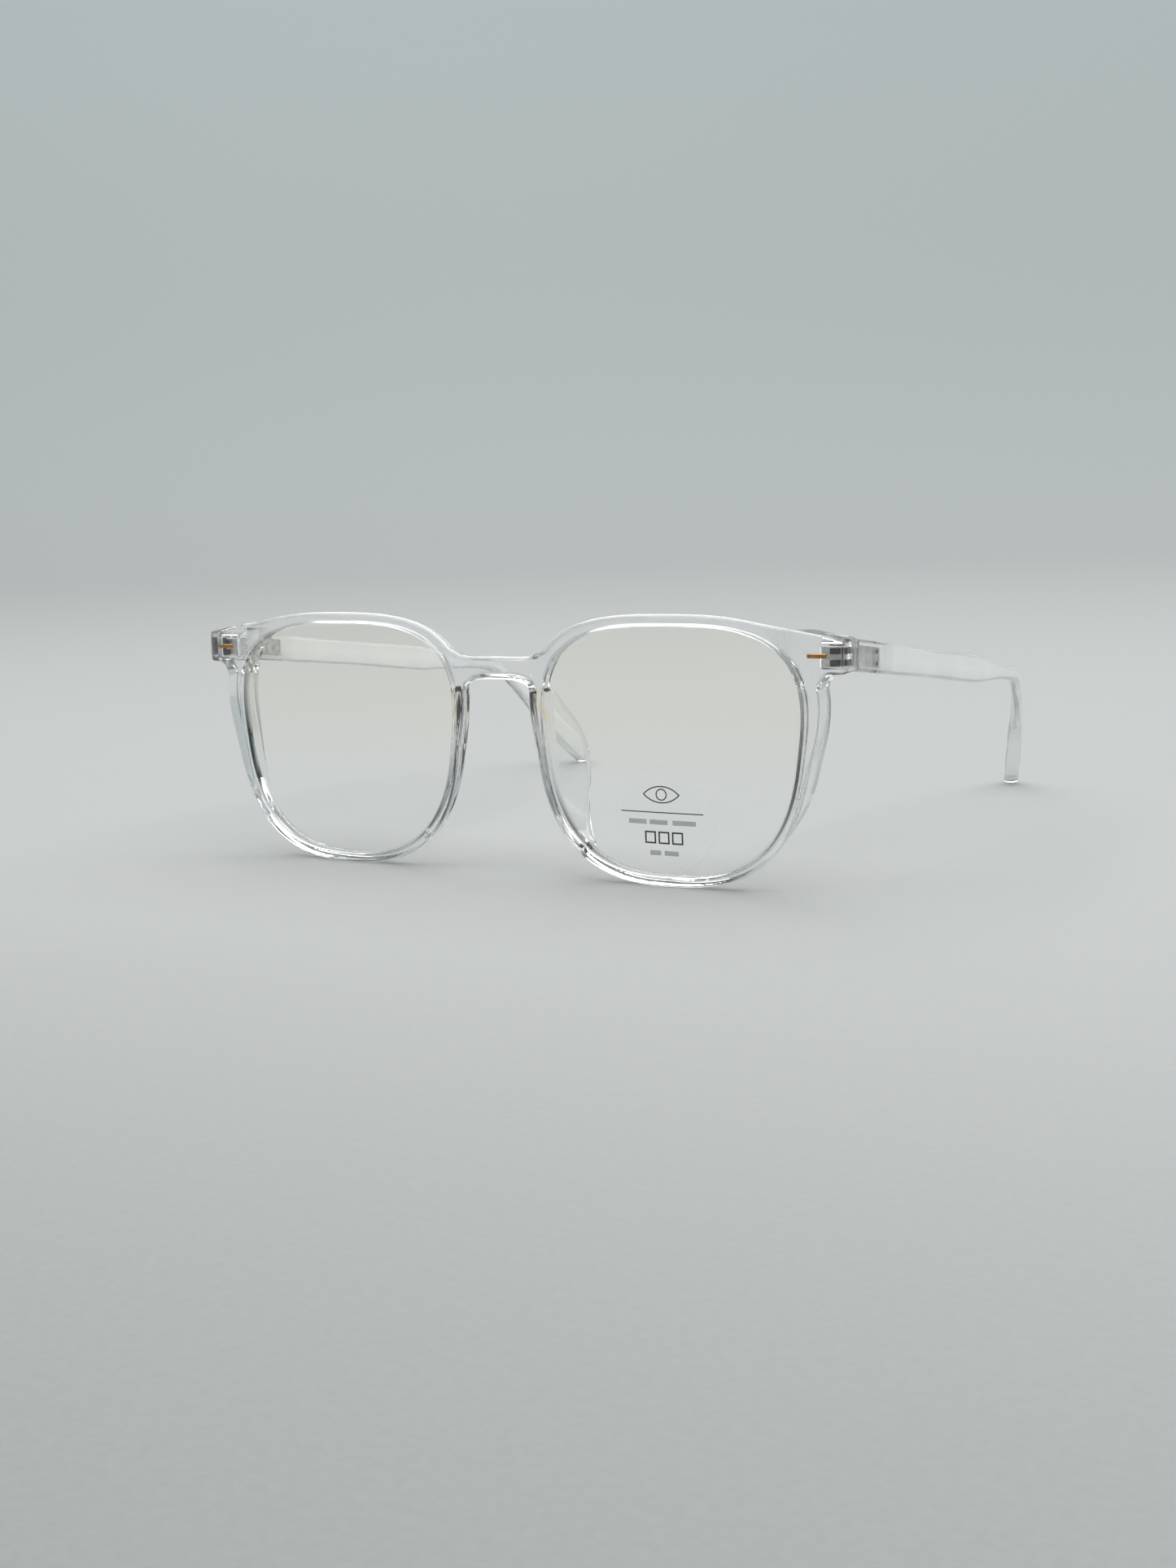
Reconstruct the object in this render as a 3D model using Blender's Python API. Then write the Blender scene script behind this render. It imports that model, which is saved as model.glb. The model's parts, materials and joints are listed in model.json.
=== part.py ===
"""Clear plastic blue light glasses: a full-rim front, two lenses, and two folding temples on screw hinges.

Sizes below are in millimetres. The front's flat face is near y = 0, the temples run back along +Y and
z = 0 is the table that the rims and the temple tips stand on. +X is the wearer's left.
"""

import math

import bmesh
import bpy
import numpy as np

MM = 0.001

# Lens opening: a rounded square that narrows towards its foot.
LENS_CENTRE_X = 35.3
LENS_CENTRE_Z = 24.55
LENS_HALF_WIDTH = 24.9
LENS_HALF_HEIGHT = 22.65
LENS_TAPER = 0.11
LENS_TOP_POWER = 3.0
LENS_FOOT_POWER = 2.7
OUTLINE_POINTS = 72

# Rim and its groove.
RIM_DEPTH = 3.5
RIM_WIDTH = 1.9
RIM_DRAFT = 0.6
GROOVE_DEPTH = 0.85
GROOVE_FRONT = 0.85
GROOVE_BACK = 2.7
LENS_THICKNESS = 1.15
LENS_BITE = 0.5
LENS_DOME = 0.7

# The front bows back a little from the bridge to the hinges.
BOW = 1.2
BOW_START = 9.0
BOW_REACH = 60.0

# Bridge.
BRIDGE_HALF = 8.9
BRIDGE_END = 10.4
BRIDGE_TOP = 41.4
BRIDGE_FOOT = 37.1
ARCH_DROP = 3.4

# Nose pads start inside the rim's rear lip.
PAD_ROOT = 2.95
PAD_HALF_THICK = 0.85

# End pieces, which carry the hinges.
END_INNER = 49.0
HALF_WIDTH = 69.0
END_TOP = 45.7
END_FOOT = 39.2
END_DEPTH = 7.6
SIDE_WALL = 63.0

# Hinge: two knuckles on the front, one on the temple, and a vertical screw.
HINGE_X = 65.0
HINGE_Y = 8.3
HINGE_Z = 42.0
KNUCKLE_RADIUS = 1.3
BORE_RADIUS = 0.7
SCREW_RADIUS = 0.55
HINGE_HALF_HEIGHT = 1.8
KNUCKLE_HALF_GAP = 0.1
MIDDLE_HALF = 0.65
GAP = 0.2
PRONG_X = 65.7
LEAF_LENGTH = 12.5

# Temples.
TEMPLE_START = 7.8
TEMPLE_THICK = 3.0
TEMPLE_LENGTH = 146.0
TEMPLE_SLOPE = 7.2
EAR_BEND_AT = 98.0
EAR_BEND_SPAN = 13.0
EAR_SLOPE = 42.5
TIP_YAW = 19.0
TIP_YAW_AT = 90.0
TIP_YAW_SPAN = 34.0
TIP_ROUND = 2.4
TEMPLE_EDGE = 0.75
MITRE_SHRINK = 0.93

# Gold dash set in each end piece.
BAR_LENGTH = 3.5
BAR_HEIGHT = 0.8
BAR_X = 64.0
BAR_Z = 42.4
BAR_PROUD = 0.15

# Round film stuck on the wearer's left lens.
LABEL_X = 34.4
LABEL_Z = 12.0
LABEL_RADIUS = 9.6
LABEL_FOOT = 2.9
LABEL_THICK = 0.3

# Middle of the glasses from front to back, which is put at y = 0.
DEPTH_MIDDLE = 70.94


def clear_scene():
    for obj in list(bpy.data.objects):
        bpy.data.objects.remove(obj, do_unlink=True)


def material(name, colour, roughness, metallic=0.0, alpha=1.0):
    mat = bpy.data.materials.new(name)
    mat.use_nodes = True
    shader = mat.node_tree.nodes["Principled BSDF"]
    shader.inputs["Base Color"].default_value = (*colour, 1.0)
    shader.inputs["Roughness"].default_value = roughness
    shader.inputs["Metallic"].default_value = metallic
    shader.inputs["Alpha"].default_value = alpha
    mat.diffuse_color = (*colour, alpha)
    return mat


def smooth(value, low, high):
    """0 below low, 1 above high, and an S-curve between them."""
    t = np.clip((np.asarray(value, float) - low) / (high - low), 0.0, 1.0)
    return t * t * (3.0 - 2.0 * t)


def bump(angle, centre, width):
    return np.exp(-(((angle - centre) / width) ** 2))


# ---------------------------------------------------------------- outlines


def lens_outline(count=OUTLINE_POINTS):
    """Points (x, z), outward normals and direction angles of the wearer's left lens opening.

    A superellipse: at height u (-1 to 1) the half width is W (1 + taper u)(1 - |u|^n)^(1/n).
    The points are spread evenly along its length.
    """
    t = np.linspace(0.0, 2 * math.pi, 2881)
    power = np.where(np.sin(t) >= 0, LENS_TOP_POWER, LENS_FOOT_POWER)
    u = np.sign(np.sin(t)) * np.abs(np.sin(t)) ** (2 / power)
    across = np.sign(np.cos(t)) * np.abs(np.cos(t)) ** (2 / power)
    x = LENS_CENTRE_X + LENS_HALF_WIDTH * (1 + LENS_TAPER * u) * across
    z = LENS_CENTRE_Z + LENS_HALF_HEIGHT * u
    run = np.concatenate([[0.0], np.cumsum(np.hypot(np.diff(x), np.diff(z)))])
    even = np.linspace(0.0, run[-1], count, endpoint=False)
    step = run[-1] / count / 2
    x_at = lambda s: np.interp(s % run[-1], run, x)
    z_at = lambda s: np.interp(s % run[-1], run, z)
    tangent = np.stack([x_at(even + step) - x_at(even - step), z_at(even + step) - z_at(even - step)], 1)
    tangent /= np.linalg.norm(tangent, axis=1)[:, None]
    normal = np.stack([tangent[:, 1], -tangent[:, 0]], 1)
    points = np.stack([x_at(even), z_at(even)], 1)
    angle = np.degrees(np.arctan2(points[:, 1] - LENS_CENTRE_Z, points[:, 0] - LENS_CENTRE_X))
    return points, normal, angle


def rim_width(angle):
    """Width of the rim in front view: wider under the hinge and beside the bridge than at the foot."""
    width = RIM_WIDTH + 0.4 * np.clip(np.sin(np.radians(angle)), 0, 1)
    return width + 1.5 * bump(angle, 22, 26) + 0.8 * bump(angle, 150, 22)


def ring_at(offset, y, count=OUTLINE_POINTS):
    """The lens outline moved outwards by offset, at depth y."""
    points, normal, angle = lens_outline(count)
    moved = points + normal * np.reshape(offset, (-1, 1))
    return np.stack([moved[:, 0], np.full(len(moved), y), moved[:, 1]], 1)


# ---------------------------------------------------------------- meshes


def loft(sections):
    """Vertices and faces of a closed skin over a stack of rings, with a flat cap at each end."""
    sections = np.asarray(sections, float)
    count, ring = sections.shape[:2]
    index = np.arange(count * ring).reshape(count, ring)
    nxt = np.roll(index, -1, axis=1)
    quads = np.stack([index[:-1], index[1:], nxt[1:], nxt[:-1]], -1).reshape(-1, 4)
    faces = [list(q) for q in quads.tolist()]
    faces.append(index[0].tolist())
    faces.append(index[-1][::-1].tolist())
    return sections.reshape(-1, 3), faces


def make(name, verts, faces, mat, origin=(0.0, 0.0, 0.0), parent=None, mirrored=False):
    """A mesh object from millimetres, its faces turned outwards, with its origin where asked."""
    verts = np.array(verts, float)
    origin = np.array(origin, float)
    if mirrored:
        verts[:, 0] *= -1
        origin[0] *= -1
    mesh = bpy.data.meshes.new(name)
    mesh.from_pydata(((verts - origin) * MM).tolist(), [], faces)
    work = bmesh.new()
    work.from_mesh(mesh)
    bmesh.ops.recalc_face_normals(work, faces=work.faces)
    if work.calc_volume(signed=True) < 0:
        bmesh.ops.reverse_faces(work, faces=work.faces)
    work.to_mesh(mesh)
    work.free()
    mesh.materials.append(mat)
    mesh.shade_smooth()
    mesh.set_sharp_from_angle(angle=math.radians(35))
    obj = bpy.data.objects.new(name, mesh)
    bpy.context.scene.collection.objects.link(obj)
    obj.location = origin * MM
    obj.parent = parent
    return obj


def helper(obj):
    obj.hide_render = True
    obj.display_type = "WIRE"
    return obj


def boolean(obj, other, operation):
    mod = obj.modifiers.new(operation.lower() + "_" + other.name, "BOOLEAN")
    mod.operation = operation
    mod.solver = "EXACT"
    mod.object = other
    return mod


def rounded_box(low, high, radius, steps=2):
    """Rings of a box whose four long edges, along Y, are rounded; its ends are flat."""
    (x0, y0, z0), (x1, y1, z1) = low, high
    corners = [(x1 - radius, z1 - radius, 0), (x0 + radius, z1 - radius, 90),
               (x0 + radius, z0 + radius, 180), (x1 - radius, z0 + radius, 270)]
    ring = [(cx + radius * math.cos(math.radians(start + 90 * k / steps)),
             cz + radius * math.sin(math.radians(start + 90 * k / steps)))
            for cx, cz, start in corners for k in range(steps + 1)]
    return [[(x, y, z) for x, z in ring] for y in (y0, y1)]


def disc(centre_x, centre_y, low, high, radius, sides):
    """Rings of an upright round bar."""
    turn = [2 * math.pi * (k + 0.5) / sides for k in range(sides)]
    return [[(centre_x + radius * math.cos(a), centre_y + radius * math.sin(a), z) for a in turn]
            for z in (low, high)]


# ---------------------------------------------------------------- front


def eye_plate():
    """Solid plate with the rim's outer shape and softened edges, a little narrower at the back."""
    _, _, angle = lens_outline()
    width = rim_width(angle)
    steps = [(0.65, 0.0), (0.2, 0.15), (0.0, 0.6)]
    front = [ring_at(width - inset, y) for inset, y in steps]
    back = [ring_at(width - inset - RIM_DRAFT, RIM_DEPTH - y) for inset, y in reversed(steps)]
    return front + back


def lens_cutter():
    """What leaves the opening and its groove when it is taken out of the plate."""
    steps = [(0.3, -3.0), (0.3, 0.05), (0.0, 0.35), (0.0, GROOVE_FRONT), (GROOVE_DEPTH, GROOVE_FRONT + 0.2),
             (GROOVE_DEPTH, GROOVE_BACK - 0.2), (0.0, GROOVE_BACK), (0.0, RIM_DEPTH - 0.3),
             (0.35, RIM_DEPTH + 0.05), (0.35, RIM_DEPTH + 3.0)]
    return [ring_at(np.full(OUTLINE_POINTS, offset), y) for offset, y in steps]


def soft_rectangle(low_y, high_y, low_z, high_z, radius):
    """Twelve points (y, z) of a rectangle with rounded corners."""
    points = []
    corners = [(high_y - radius, high_z - radius, 0), (low_y + radius, high_z - radius, 90),
               (low_y + radius, low_z + radius, 180), (high_y - radius, low_z + radius, 270)]
    for cy, cz, start in corners:
        for turn in (0, 45, 90):
            a = math.radians(start + turn)
            points.append((cy + radius * math.cos(a), cz + radius * math.sin(a)))
    return points


def bridge():
    """Straight bar with a flat top, whose underside arches down into the nose sides of the rims."""
    sections = []
    for x in np.concatenate([[-BRIDGE_END], np.linspace(-BRIDGE_HALF, BRIDGE_HALF, 19), [BRIDGE_END]]):
        reach = min(abs(x) / BRIDGE_HALF, 1.0)
        foot = BRIDGE_FOOT - ARCH_DROP * reach**4
        top = BRIDGE_TOP + 0.9 * reach**8
        sections.append([(x, y, z) for y, z in soft_rectangle(-0.1, RIM_DEPTH - 0.15, foot, top, 0.55)])
    return sections


def end_piece():
    """Block that runs from the rim to the side and turns back to the temple."""
    sections = []
    round_from = HALF_WIDTH - 1.2
    stations = np.concatenate([np.linspace(END_INNER, 61.0, 3), np.linspace(61.6, round_from, 13),
                               HALF_WIDTH - np.array([0.6, 0.25, 0.0])])
    for x in stations:
        edge = smooth(x, round_from, HALF_WIDTH)
        front = -0.1 + 1.2 * smooth(x, 66.4, 70.6) + 0.45 * edge
        deeper = END_DEPTH - bow(HALF_WIDTH) - RIM_DEPTH - 0.1
        back = RIM_DEPTH + 0.1 + deeper * smooth(x, SIDE_WALL - 2.0, SIDE_WALL)
        top = END_TOP + 0.175 * (66.2 - x) - 0.45 * edge**2
        foot = END_FOOT - 2.8 * np.clip((66.4 - x) / 2.8, 0, 1) ** 2 + 0.45 * edge**2
        sections.append([(x, y, z) for y, z in soft_rectangle(front, back, foot, top, 0.6)])
    return sections


def nose_pad():
    """Moulded pad: a fin that leaves the nose side of the rim and leans back and outwards."""
    height = np.array([35.0, 32.0, 29.0, 25.5, 22.0, 18.5, 15.0, 11.0, 7.5, 5.8])
    root_x = np.array([8.7, 8.7, 8.9, 9.3, 9.9, 10.7, 11.9, 13.7, 16.0, 17.6])
    tip_x = np.array([9.6, 10.9, 12.2, 13.3, 14.0, 14.3, 14.6, 15.3, 16.7, 17.9])
    tip_y = np.array([4.1, 5.8, 7.6, 8.9, 9.3, 8.9, 7.9, 6.4, 4.9, 4.1])
    sections = []
    for z, x0, x1, y1 in zip(height, root_x, tip_x, tip_y):
        along = np.array([x1 - x0, y1 - PAD_ROOT])
        length = np.linalg.norm(along)
        along /= length
        side = np.array([-along[1], along[0]])
        ring = []
        for k in range(12):
            a = 2 * math.pi * (k + 0.5) / 12
            far = length / 2 + (length / 2) * np.sign(math.cos(a)) * abs(math.cos(a)) ** 0.6
            off = PAD_HALF_THICK * np.sign(math.sin(a)) * abs(math.sin(a)) ** 0.8
            ring.append((x0 + along[0] * far + side[0] * off, PAD_ROOT + along[1] * far + side[1] * off, z))
        sections.append(ring)
    return sections


def bow(x):
    """How far back the front stands at x."""
    return BOW * (np.maximum(np.abs(x) - BOW_START, 0.0) / BOW_REACH) ** 2


def bend_back(points):
    bent = np.array(points, float)
    bent[..., 1] += bow(bent[..., 0])
    return bent


def joined(name, base, steps, mat):
    """One mesh: base with each step's shape added or taken away, on both sides."""
    body = helper(make(name, *loft(base), mat))
    used = [body]
    for number, (operation, sections) in enumerate(steps):
        for mirrored in (False, True):
            tool = helper(make(f"{name}_{number}_{mirrored}", *loft(sections), mat, mirrored=mirrored))
            boolean(body, tool, operation)
            used.append(tool)
    bpy.context.view_layer.update()
    mesh = bpy.data.meshes.new_from_object(body.evaluated_get(bpy.context.evaluated_depsgraph_get()))
    for obj in used:
        bpy.data.objects.remove(obj, do_unlink=True)
    return mesh


def front_frame(mat, root):
    steps = [("UNION", eye_plate()), ("UNION", end_piece()),
             ("DIFFERENCE", lens_cutter()), ("UNION", nose_pad())]
    mesh = joined("front_blank", bridge(), steps, mat)
    points = np.empty(len(mesh.vertices) * 3, np.float32)
    mesh.vertices.foreach_get("co", points)
    mesh.vertices.foreach_set("co", (bend_back(points.reshape(-1, 3) / MM) * MM).astype(np.float32).ravel())
    work = bmesh.new()
    work.from_mesh(mesh)
    bmesh.ops.remove_doubles(work, verts=work.verts, dist=0.01 * MM)
    bmesh.ops.dissolve_degenerate(work, edges=work.edges, dist=0.01 * MM)
    bmesh.ops.triangulate(work, faces=work.faces)
    work.to_mesh(mesh)
    work.free()
    mesh.shade_smooth()
    mesh.set_sharp_from_angle(angle=math.radians(35))
    frame = bpy.data.objects.new("front_frame", mesh)
    bpy.context.scene.collection.objects.link(frame)
    frame.parent = root
    for mirrored in (False, True):
        tag = "right" if mirrored else "left"
        for name, sections in hinge_room():
            room = helper(make(f"{name}_{tag}", *loft(sections), mat, parent=root, mirrored=mirrored))
            boolean(frame, room, "DIFFERENCE")
    return frame


def hinge_room():
    """Pocket for the hinge leaf, holes for its two prongs, and the slot for the gold dash."""
    low, high = HINGE_Z - HINGE_HALF_HEIGHT - 0.3, HINGE_Z + HINGE_HALF_HEIGHT + 0.7
    pocket = rounded_box((HINGE_X - 1.8, HINGE_Y - 2.2, low), (HINGE_X + 2.6, HINGE_Y + 2.0, high), 0.3)
    holes = [rounded_box((PRONG_X - 0.7, HINGE_Y - 3.7, z - 0.65),
                         (PRONG_X + 0.7, HINGE_Y - 1.8, z + 0.65), 0.15) for z in prong_heights()]
    face = bow(BAR_X) - 0.1
    slot = rounded_box((BAR_X - BAR_LENGTH / 2 - 0.12, face - 1.0, BAR_Z - BAR_HEIGHT / 2 - 0.12),
                       (BAR_X + BAR_LENGTH / 2 + 0.12, face + 0.5, BAR_Z + BAR_HEIGHT / 2 + 0.12), 0.3)
    return [("pocket", pocket), ("prong_hole_low", holes[0]),
            ("prong_hole_high", holes[1]), ("bar_slot", slot)]


def prong_heights():
    return (HINGE_Z - 1.05, HINGE_Z + 1.05)


# ---------------------------------------------------------------- lenses and label


def lens_face(x, z):
    """Depth of the lens's front face: domed forward, thickest swell at its middle."""
    reach = ((x - LENS_CENTRE_X) / 26.0) ** 2 + ((z - LENS_CENTRE_Z) / 24.0) ** 2
    middle = (GROOVE_FRONT + GROOVE_BACK) / 2 - LENS_THICKNESS / 2
    return middle - LENS_DOME * np.clip(1 - reach, 0, 1) + bow(x)


def lens_sections():
    """Rings from the middle of the front face, round the edge, to the middle of the back face."""
    count = 48
    edge = ring_at(np.full(count, LENS_BITE), 0.0, count)
    middle = np.array([LENS_CENTRE_X, 0.0, LENS_CENTRE_Z])
    sections = []
    for share, side in [(0.2, 0), (0.5, 0), (0.8, 0), (1.0, 0), (1.0, 1), (0.8, 1), (0.5, 1), (0.2, 1)]:
        ring = middle + (edge - middle) * share
        ring[:, 1] = lens_face(ring[:, 0], ring[:, 2]) + LENS_THICKNESS * side
        sections.append(ring)
    return sections


def label_sections():
    """A thin disc in front of the lens, cut straight where it would reach the rim."""
    turn = np.arange(40) * 2 * math.pi / 40
    x = LABEL_X + LABEL_RADIUS * np.cos(turn)
    z = np.maximum(LABEL_Z + LABEL_RADIUS * np.sin(turn), LABEL_FOOT)
    front = lens_face(x, z) - GAP - LABEL_THICK
    return [np.stack([x, front, z], 1), np.stack([x, front + LABEL_THICK, z], 1)]


# ---------------------------------------------------------------- hinges


def knuckle(name, low, high, mat, parent, mirrored):
    """Round barrel with a bore, standing on the hinge axis."""
    tube = disc(HINGE_X, HINGE_Y, low, high, KNUCKLE_RADIUS, 20)
    return make(name, *loft(tube), mat, (HINGE_X, HINGE_Y, HINGE_Z), parent, mirrored)


def hinge_leaf(name, blocks, barrels, mat, parent, mirrored):
    """Metal leaf: blocks and barrels in one piece, with the screw's bore through them."""
    origin = (HINGE_X, HINGE_Y, HINGE_Z)
    body = make(name, *loft(blocks[0]), mat, origin, parent, mirrored)
    for number, sections in enumerate(blocks[1:]):
        block = make(f"{name}_block_{number}", *loft(sections), mat, origin, parent, mirrored)
        boolean(body, helper(block), "UNION")
    for number, (low, high) in enumerate(barrels):
        barrel = knuckle(f"{name}_barrel_{number}", low, high, mat, parent, mirrored)
        boolean(body, helper(barrel), "UNION")
    bore = disc(HINGE_X, HINGE_Y, HINGE_Z - 4.0, HINGE_Z + 4.0, BORE_RADIUS, 16)
    tool = helper(make(f"{name}_bore", *loft(bore), mat, origin, parent, mirrored))
    boolean(body, tool, "DIFFERENCE")
    return body


def front_leaf(name, mat, parent, mirrored):
    low, high = HINGE_Z - HINGE_HALF_HEIGHT, HINGE_Z + HINGE_HALF_HEIGHT
    inner = MIDDLE_HALF + KNUCKLE_HALF_GAP
    plate = rounded_box((HINGE_X - 1.6, HINGE_Y - 1.95, low), (HINGE_X + 2.4, HINGE_Y - 1.35, high), 0.2)
    lugs = [rounded_box((HINGE_X - 1.1, HINGE_Y - 1.5, a), (HINGE_X + 1.1, HINGE_Y - 0.75, b), 0.1)
            for a, b in ((low, HINGE_Z - inner), (HINGE_Z + inner, high))]
    prongs = [rounded_box((PRONG_X - 0.5, HINGE_Y - 3.4, z - 0.45),
                          (PRONG_X + 0.5, HINGE_Y - 1.8, z + 0.45), 0.1) for z in prong_heights()]
    return hinge_leaf(name, [plate] + lugs + prongs, [(low, HINGE_Z - inner), (HINGE_Z + inner, high)],
                      mat, parent, mirrored)


def temple_leaf(name, mat, parent, mirrored):
    low, high = HINGE_Z - MIDDLE_HALF + KNUCKLE_HALF_GAP, HINGE_Z + MIDDLE_HALF - KNUCKLE_HALF_GAP
    inner = HALF_WIDTH - TEMPLE_THICK
    plate = slanted_plate(inner - 0.65, inner + 0.05, HINGE_Y + 1.75, HINGE_Y + LEAF_LENGTH, 1.75)
    neck = rounded_box((inner - 0.65, HINGE_Y + 0.75, low), (inner, HINGE_Y + 2.6, high), 0.08)
    studs = [stud(inner - 0.2, inner + 1.2, 0.45, y, z) for y, z in stud_places()]
    return hinge_leaf(name, [plate, neck] + studs, [(low, high)], mat, parent, mirrored)


def stud_places():
    """Two pins near the plate's far end, one above the other."""
    y = HINGE_Y + LEAF_LENGTH - 1.9
    return [(y, temple_axis_z(y) - 1.05), (y, temple_axis_z(y) + 1.05)]


def stud(x0, x1, radius, y, z):
    """Rings of a round pin along X."""
    turn = [2 * math.pi * (k + 0.5) / 12 for k in range(12)]
    return [[(x, y + radius * math.cos(a), z + radius * math.sin(a)) for a in turn] for x in (x0, x1)]


def slanted_plate(x0, x1, y0, y1, half_height):
    """Flat plate on the temple's inner side that follows its slope."""
    sections = []
    for y in (y0, y1):
        z = temple_axis_z(y)
        sections.append([(x0, y, z - half_height), (x1, y, z - half_height), (x1, y, z + half_height),
                         (x0, y, z + half_height)])
    return sections


def hinge_screw(name, mat, parent, mirrored):
    """Shank through the three knuckles and a slotted cheese head on top."""
    top = HINGE_Z + HINGE_HALF_HEIGHT
    origin = (HINGE_X, HINGE_Y, HINGE_Z)
    shank = disc(HINGE_X, HINGE_Y, HINGE_Z - HINGE_HALF_HEIGHT - 0.1, top + 0.2, SCREW_RADIUS, 16)
    head = disc(HINGE_X, HINGE_Y, top + 0.1, top + 0.5, 1.05, 20)
    slot = rounded_box((HINGE_X - 0.13, HINGE_Y - 2.0, top + 0.3),
                       (HINGE_X + 0.13, HINGE_Y + 2.0, top + 1.0), 0.02)
    body = make(name, *loft(shank), mat, origin, parent, mirrored)
    boolean(body, helper(make(name + "_head", *loft(head), mat, origin, parent, mirrored)), "UNION")
    boolean(body, helper(make(name + "_slot", *loft(slot), mat, origin, parent, mirrored)), "DIFFERENCE")
    return body


# ---------------------------------------------------------------- temples


def temple_path(count=400):
    """Centre line from the mitre to the tip, walked in small steps.

    The slope below level goes from TEMPLE_SLOPE to EAR_SLOPE round the ear, and the heading turns inwards
    by TIP_YAW over a longer stretch, both along S-curves of the distance walked.
    """
    s = np.linspace(0.0, TEMPLE_LENGTH, count)
    round_ear = smooth(s, EAR_BEND_AT, EAR_BEND_AT + EAR_BEND_SPAN)
    slope = np.radians(TEMPLE_SLOPE + (EAR_SLOPE - TEMPLE_SLOPE) * round_ear)
    yaw = np.radians(TIP_YAW * smooth(s, TIP_YAW_AT, TIP_YAW_AT + TIP_YAW_SPAN))
    heading = np.stack([-np.sin(yaw) * np.cos(slope), np.cos(yaw) * np.cos(slope), -np.sin(slope)], 1)
    step = TEMPLE_LENGTH / (count - 1)
    start = np.array([[HALF_WIDTH - TEMPLE_THICK / 2, TEMPLE_START, HINGE_Z + 0.1]])
    points = np.concatenate([start, start + np.cumsum(heading[:-1] * step, axis=0)])
    return s, points, heading


def temple_axis_z(y):
    """Height of the temple's centre line at depth y, on its straight part."""
    return HINGE_Z + 0.1 - (y - TEMPLE_START) * math.tan(math.radians(TEMPLE_SLOPE))


def temple_height(s):
    """Height of the blade: even, a little taller before the ear, slim at the bend, broader at the tip."""
    blade = 5.7 - 0.4 * smooth(s, 5, 40) + 0.4 * smooth(s, 45, 66)
    slim = blade - (blade - 3.0) * smooth(s, 68, 92)
    return slim + 2.4 * smooth(s, 112, 132)


def temple_thickness(s):
    return TEMPLE_THICK - 0.5 * smooth(s, 20, 60) + 0.9 * smooth(s, 112, 134)


def temple_sections():
    """Soft rectangles across the centre line, drawn in to a round end at the tip.

    The blade's outer face stays in line with the front's side, however thin the blade gets.
    """
    s, points, heading = temple_path()
    stations = np.concatenate([[0.0, 0.6], np.linspace(6, 66, 11), np.linspace(70, 138, 24)])
    round_end = TEMPLE_LENGTH - TIP_ROUND * (1 - np.sin(np.radians([0, 20, 45, 65, 82])))
    sections = []
    for at in np.concatenate([stations, round_end]):
        centre = np.array([np.interp(at, s, points[:, k]) for k in range(3)])
        forward = np.array([np.interp(at, s, heading[:, k]) for k in range(3)])
        side = np.cross(forward, (0.0, 0.0, 1.0))
        side /= np.linalg.norm(side)
        lean = smooth(at, 0.0, 6.0)
        up = np.cross(side, forward) * lean + np.array([0.0, 0.0, 1.0]) * (1 - lean)
        into_end = max(TIP_ROUND - (TEMPLE_LENGTH - at), 0.0) / TIP_ROUND
        shrink = math.sqrt(1 - into_end**2) if at > 0.0 else MITRE_SHRINK
        half_t, half_h = temple_thickness(at) / 2, temple_height(at) / 2
        centre[0] += (TEMPLE_THICK / 2 - half_t) * (1 - smooth(at, TIP_YAW_AT, TIP_YAW_AT + TIP_YAW_SPAN))
        outline = soft_rectangle(-half_t * shrink, half_t * shrink, -half_h * shrink, half_h * shrink,
                                 min(half_t, TEMPLE_EDGE) * shrink)
        sections.append([centre + side * across + up * high for across, high in outline])
    return sections


def temple(name, mat, parent, mirrored):
    origin = (HINGE_X, HINGE_Y, HINGE_Z)
    inner = HALF_WIDTH - TEMPLE_THICK
    body = make(name, *loft(temple_sections()), mat, origin, parent, mirrored)
    plate_end = HINGE_Y + LEAF_LENGTH + GAP
    room = [("barrel_room", disc(HINGE_X, HINGE_Y, HINGE_Z - 4.5, HINGE_Z + 4.5, KNUCKLE_RADIUS + 0.3, 24)),
            ("plate_room", slanted_plate(inner - 2.0, inner + GAP, HINGE_Y + 0.9, plate_end, 1.95))]
    for number, (y, z) in enumerate(stud_places()):
        room.append((f"stud_hole_{number}", stud(inner - 0.1, inner + 1.4, 0.65, y, z)))
    for label, sections in room:
        tool = helper(make(f"{name}_{label}", *loft(sections), mat, origin, parent, mirrored))
        boolean(body, tool, "DIFFERENCE")
    return body


# ---------------------------------------------------------------- assembly


def gold_bar(name, mat, parent, mirrored):
    face = bow(BAR_X) - 0.1
    bar = rounded_box((BAR_X - BAR_LENGTH / 2, face - BAR_PROUD, BAR_Z - BAR_HEIGHT / 2),
                      (BAR_X + BAR_LENGTH / 2, face + 0.35, BAR_Z + BAR_HEIGHT / 2), 0.3, 4)
    return make(name, *loft(bar), mat, (BAR_X, face, BAR_Z), parent, mirrored)


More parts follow.
